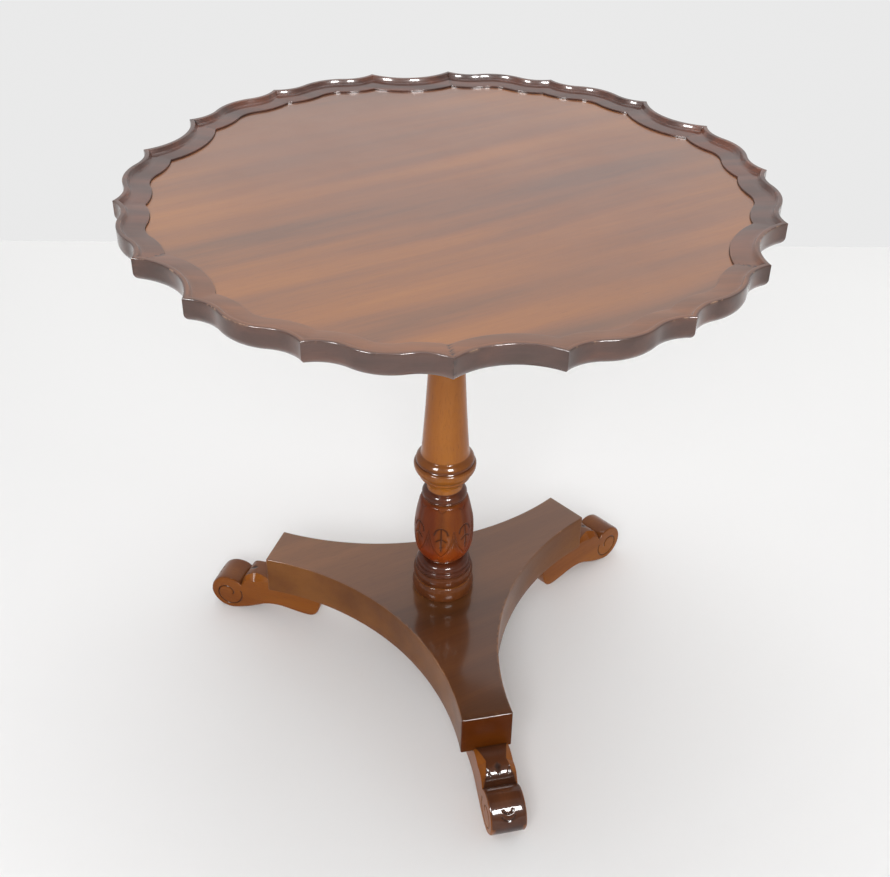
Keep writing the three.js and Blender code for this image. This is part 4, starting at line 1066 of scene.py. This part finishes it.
def makeFoot(index, values):
    # At each station a closed section runs up one side, over the top, down the other side and back below.
    # The long edges are chamfered, and the cuts lower the surface by a bell curve of the distance from them.
    lower, upper, named = footLines(values)
    half, sideSteps = values["width"] / 2, values["sideSteps"]
    face, knee, valley = named["face"], named["knee"], named["valley"]
    topIn = -inwardNormals(upper)
    run = lengthAlong(upper)
    station = np.arange(len(upper))
    tall = norm(upper - lower, axis=1)
    small = np.where(station < face, np.minimum(1, tall / 12), 1)      # chamfers die out on the thin tail
    topChamfer, lowChamfer = (
        np.interp(station, list(named.values()), values[k]) * small for k in ("topChamfer", "lowChamfer"))
    lowSide = lower + inwardNormals(lower) * lowChamfer[:, None]
    topSide = upper + topIn * topChamfer[:, None]
    t = np.linspace(0, 1, sideSteps)[None, :, None]
    side = lowSide[:, None] * (1 - t) + topSide[:, None] * t          # on the flat of a side
    cut = stroke(side[..., 0], side[..., 1], spiral(values), values["cutWidth"])
    sideY = half - values["cutDepth"] * cut

    u = np.linspace(-1, 1, values["acrossSteps"])[None, :]
    across = u * (half - topChamfer)[:, None]
    over = np.broadcast_to(upper[:, None], (*across.shape, 2))
    arcRun = np.broadcast_to(run[:, None], across.shape)
    carve, dark = topCuts(across, arcRun, upper, run, run[knee], values)
    over = over + topIn[:, None] * (carve + values["edgeDrop"] * np.abs(u) ** 8)[..., None]
    step = station[:, None] + 0 * u
    # Painted shade on the knee's concave front and in the joint under the platform.
    front = zone(step, knee + 18, knee + 26, valley, valley + 6)
    joint = np.maximum(0, 1 - np.abs(step - face) / 4)
    dark = np.maximum(dark, np.maximum(values["frontShade"] * front, values["jointShade"] * joint))
    # Painted shade: the top of the foot and the lower front of the scroll are drawn darker.
    topShade = ((np.abs(u) < 0.97) | (step > valley)) * fade(step, face, face + 2) * values["darkTop"][index]
    kneeEdge = (np.abs(u) > 0.99) * (step < valley + 3)

    v = np.linspace(1, -1, values["underSteps"])[None, :]
    beneath = v * (half - lowChamfer)[:, None]
    below = np.broadcast_to(lower[:, None], (*beneath.shape, 2))
    scrollFrontShade = (np.abs(v) < 0.9) * fade(station[:, None] + 0 * v, named["crown"] + 20, named["crown"] + 40)

    def around(side, top, below, sense=1):
        return np.concatenate([sense * side, top, side[:, ::-1], below], 1)

    plain = np.zeros(beneath.shape)
    sideDull = np.full(cut.shape, values["sideDull"])
    sideDull[:, -2:] = 1
    section = around(side, over, below)
    width = around(sideY, across, beneath, -1) + values["slip"][index]
    a = platformSet["turn"] + 120 * index
    plan = section[..., :1] * polar(1, a) + width[..., None] * polar(1, a + 90)
    # shade: painted shade in the volute's groove, the cuts, under the knee and at the joint
    body = sheet(atHeight(plan, section[..., 1]), False, True, shade=around(0.95 * cut, dark, plain),
                 top=around(0 * cut, topShade, scrollFrontShade), dull=around(sideDull, kneeEdge, plain))
    piece = makeObject(f"scrollFoot{index + 1}", [body], fold=33)
    finishPiece(piece, "stand", "foot_wood", f"foot_{index + 1}", f"footWood{index + 1}")


for k in range(3):
    look = {**baseWood, **woodLooks["footWood"], "grainTurn": (0, 0, -(platformSet["turn"] + 120 * k))}
    finishes[f"footWood{k + 1}"] = polishedWood(f"footWood{k + 1}", look)
    makeFoot(k, footSet)
print("feet: 3")


def orient(points, origin, way):
    # Points made about an upright axis, turned so that up is the way given, and moved to the origin.
    way = np.array(way, float)
    helper = np.array([1.0, 0, 0]) if abs(way[0]) < 0.9 else np.array([0, 1.0, 0])
    first = helper - way * (helper @ way)
    first /= norm(first)
    second = np.cross(way, first)
    return np.array(origin) + points @ np.stack([first, second, way])


screwSet = {
    # group: how many, head radius, head height, shank radius, way the head faces, body, metal, turn of the
    # first slot and turn from one to the next
    "bearer": (8, 4.2, 2.6, 2.2, (0, 0, -1), "top", "steel", 0.0, 0.7),
    "foot": (6, 5.2, 3.2, 2.6, (0, 0, -1), "stand", "steel", 0.0, 1.1),
    "catch": (4, 3.2, 2.0, 1.6, (0, 0, -1), "top", "brass", 0.0, 0.9),
    "strike": (2, 3.2, 2.0, 1.6, (0, 1, 0), "stand", "brass", 0.3, 0.8),
}


def screwSheets(radius, headHeight, shank, length, turn):
    # Head: rows parallel to the slot, each as wide as the circle there; the rows of the slot lie lower
    # between rounded ends. Body: the head's round carried down to the shank and the point.
    slot = 0.13 * radius
    rise = np.sin(np.radians(np.linspace(-90, 90, 15)))
    rows = np.sort(np.concatenate([rise * radius, [-slot, -slot * 0.98, slot * 0.98, slot]]))
    wide = np.sqrt(np.maximum(radius ** 2 - rows ** 2, 0))
    u = np.linspace(-1, 1, 21)[None, :]
    x = u * wide[:, None]
    y = np.broadcast_to(rows[:, None], x.shape)
    inSlot = (np.abs(rows) < slot * 0.99)[:, None]
    dome = 0.12 * radius * (1 - (x ** 2 + y ** 2) / radius ** 2)
    z = dome - inSlot * 0.42 * headHeight * (1 - fade(np.abs(u), 0.86, 0.93)) * (dome > 0)
    right = np.arctan2(rows, wide)
    profile = np.array([(radius, 0), (radius, -0.3), (shank, -headHeight), (shank, 2 * shank - length),
                        (0.3 * shank, -length + 0.05), (0, -length)])
    body = turnedSheet(profile, np.concatenate([right, (np.pi - right)[::-1]]))
    c, s = math.cos(turn), math.sin(turn)
    spin = np.array([[c, s, 0], [-s, c, 0], [0, 0, 1]])
    return [sheet(np.stack([x, y, z], -1) @ spin, shade=0.9 * inSlot), sheet(body @ spin, True)]


def makeScrew(group, number, values):
    # Placed by its node's box: the head faces the way given and the length is the box's along it.
    _, radius, headHeight, shank, way, body, metalName, first, step = values
    node = f"{group}_screw_{number}"
    low, high = nodeBox(node)
    axis = int(np.argmax(np.abs(way)))
    origin = (low + high) / 2
    origin[axis] = high[axis] if way[axis] > 0 else low[axis]
    sheets = screwSheets(radius, headHeight, shank, high[axis] - low[axis], first + step * (number - 1))
    for s in sheets:
        s["points"] = orient(s["points"], origin, way)
    piece = makeObject(f"{group}Screw{number}", sheets, fold=30)
    finishPiece(piece, body, metalName, node, metalName + "Metal")


for group, values in screwSet.items():
    for k in range(values[0]):
        makeScrew(group, k + 1, values)


def makeTurned(name, node, body, metalName, profile, origin, way):
    # A profile turned about an axis that starts at the origin and runs the way given.
    points = orient(turnedSheet(profile, roundAngles(48)), origin, way)
    piece = makeObject(name, [sheet(points, True)], fold=35)
    finishPiece(piece, body, metalName, node, metalName + "Metal")


def makePin(name, node, side):
    # Shank and domed head turned about the tilt axis, head outwards.
    low, high = nodeBox(node)
    length = high[0] - low[0]
    head, back = (high[2] - low[2]) / 2, length - 4
    profile = joined(
        [(0, 0)], ((4.0, 0), 3), ((5, 0), (5, 1), 4), ((5, back - 0.05), 8),
        curve((5, back), (head - 0.4, back), 3), ((head, back), (head, back + 0.6), 3),
        ((head, length - 0.4), (0, length), 14))
    start = (low + high) / 2
    start[0] = low[0] if side > 0 else high[0]
    makeTurned(name, node, "stand", "steel", profile, start, (side, 0, 0))


def makeKnob(name, node):
    # Brass knob below the bolt: neck, waist and a softly domed grip, turned about an upright axis.
    low, high = nodeBox(node)
    tall = high[2] - low[2]
    profile = joined(
        [(0, tall)], ((2.5, tall), 3), curve((2.5, tall - 0.1), (2.5, 7.2), 8),
        ((2.6, 7.0), (4.6, 6.9), 4), ((6.0, 6.8), (6.0, 5.6), 6), ((6.0, 1.5), 4),
        ((6.0, 0.3), (4.6, 0.2), 6), ((2.0, 0), (0, 0), 5))
    makeTurned(name, node, "bolt", "brass", profile, (*(low + high)[:2] / 2, low[2]), (0, 0, 1))


makePin("pivotPinLeft", "pivot_pin_left", -1)
makePin("pivotPinRight", "pivot_pin_right", 1)
makeKnob("catchKnob", "catch_knob")
print("screws, pins and knob")


easeSet = {
    # node: name, body, slot, finish, width of the eased edges
    "bearer_left": ("bearerLeft", "top", "underframe_wood", "underframeWood", 1.2),
    "bearer_right": ("bearerRight", "top", "underframe_wood", "underframeWood", 1.2),
    "tilt_block": ("tiltBlock", "stand", "underframe_wood", "underframeWood", 1.0),
    "catch_case": ("catchCase", "top", "brass", "brassMetal", 0.35),
    "catch_bolt": ("catchBolt", "bolt", "brass", "brassMetal", 0.4),
    "strike_plate": ("strikePlate", "stand", "brass", "brassMetal", 0.3),
}


def easedCopy(node, name, body, slot, finish, width):
    # The node's mesh with its points merged, flat faces joined, and its sharp edges eased by a bevel.
    work = bmesh.new()
    work.from_mesh(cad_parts[node].data)
    bmesh.ops.remove_doubles(work, verts=work.verts, dist=1e-6)
    bmesh.ops.dissolve_limit(work, angle_limit=math.radians(1.0), verts=work.verts, edges=work.edges)
    piece = meshObject(name, bpy.data.meshes.new(name), work, 30)
    bevel = piece.modifiers.new("ease", "BEVEL")
    bevel.width = width * mm
    bevel.segments = 2
    bevel.limit_method = "ANGLE"
    bevel.angle_limit = math.radians(40)
    bevel.use_clamp_overlap = True
    bevel.harden_normals = True
    finishPiece(piece, body, slot, node, finish)


for node, values in easeSet.items():
    easedCopy(node, *values)

keptNodes = {"bottom_wedge": "underframeWood", "top_wedge": "underframeWood", "bolt_spring": "steelMetal"}
for node, finish in keptNodes.items():
    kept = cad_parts[node]
    if not kept.data.materials:
        kept.data.materials.append(finishes[finish])
    for place in kept.material_slots:
        place.material = finishes[finish]
print("underframe and catch")


placeCamera(cameraSet)
lightScene(lightSet)
layFloor(floorSet)
bpy.context.scene.view_settings.view_transform = "Standard"
print("camera, light and floor")
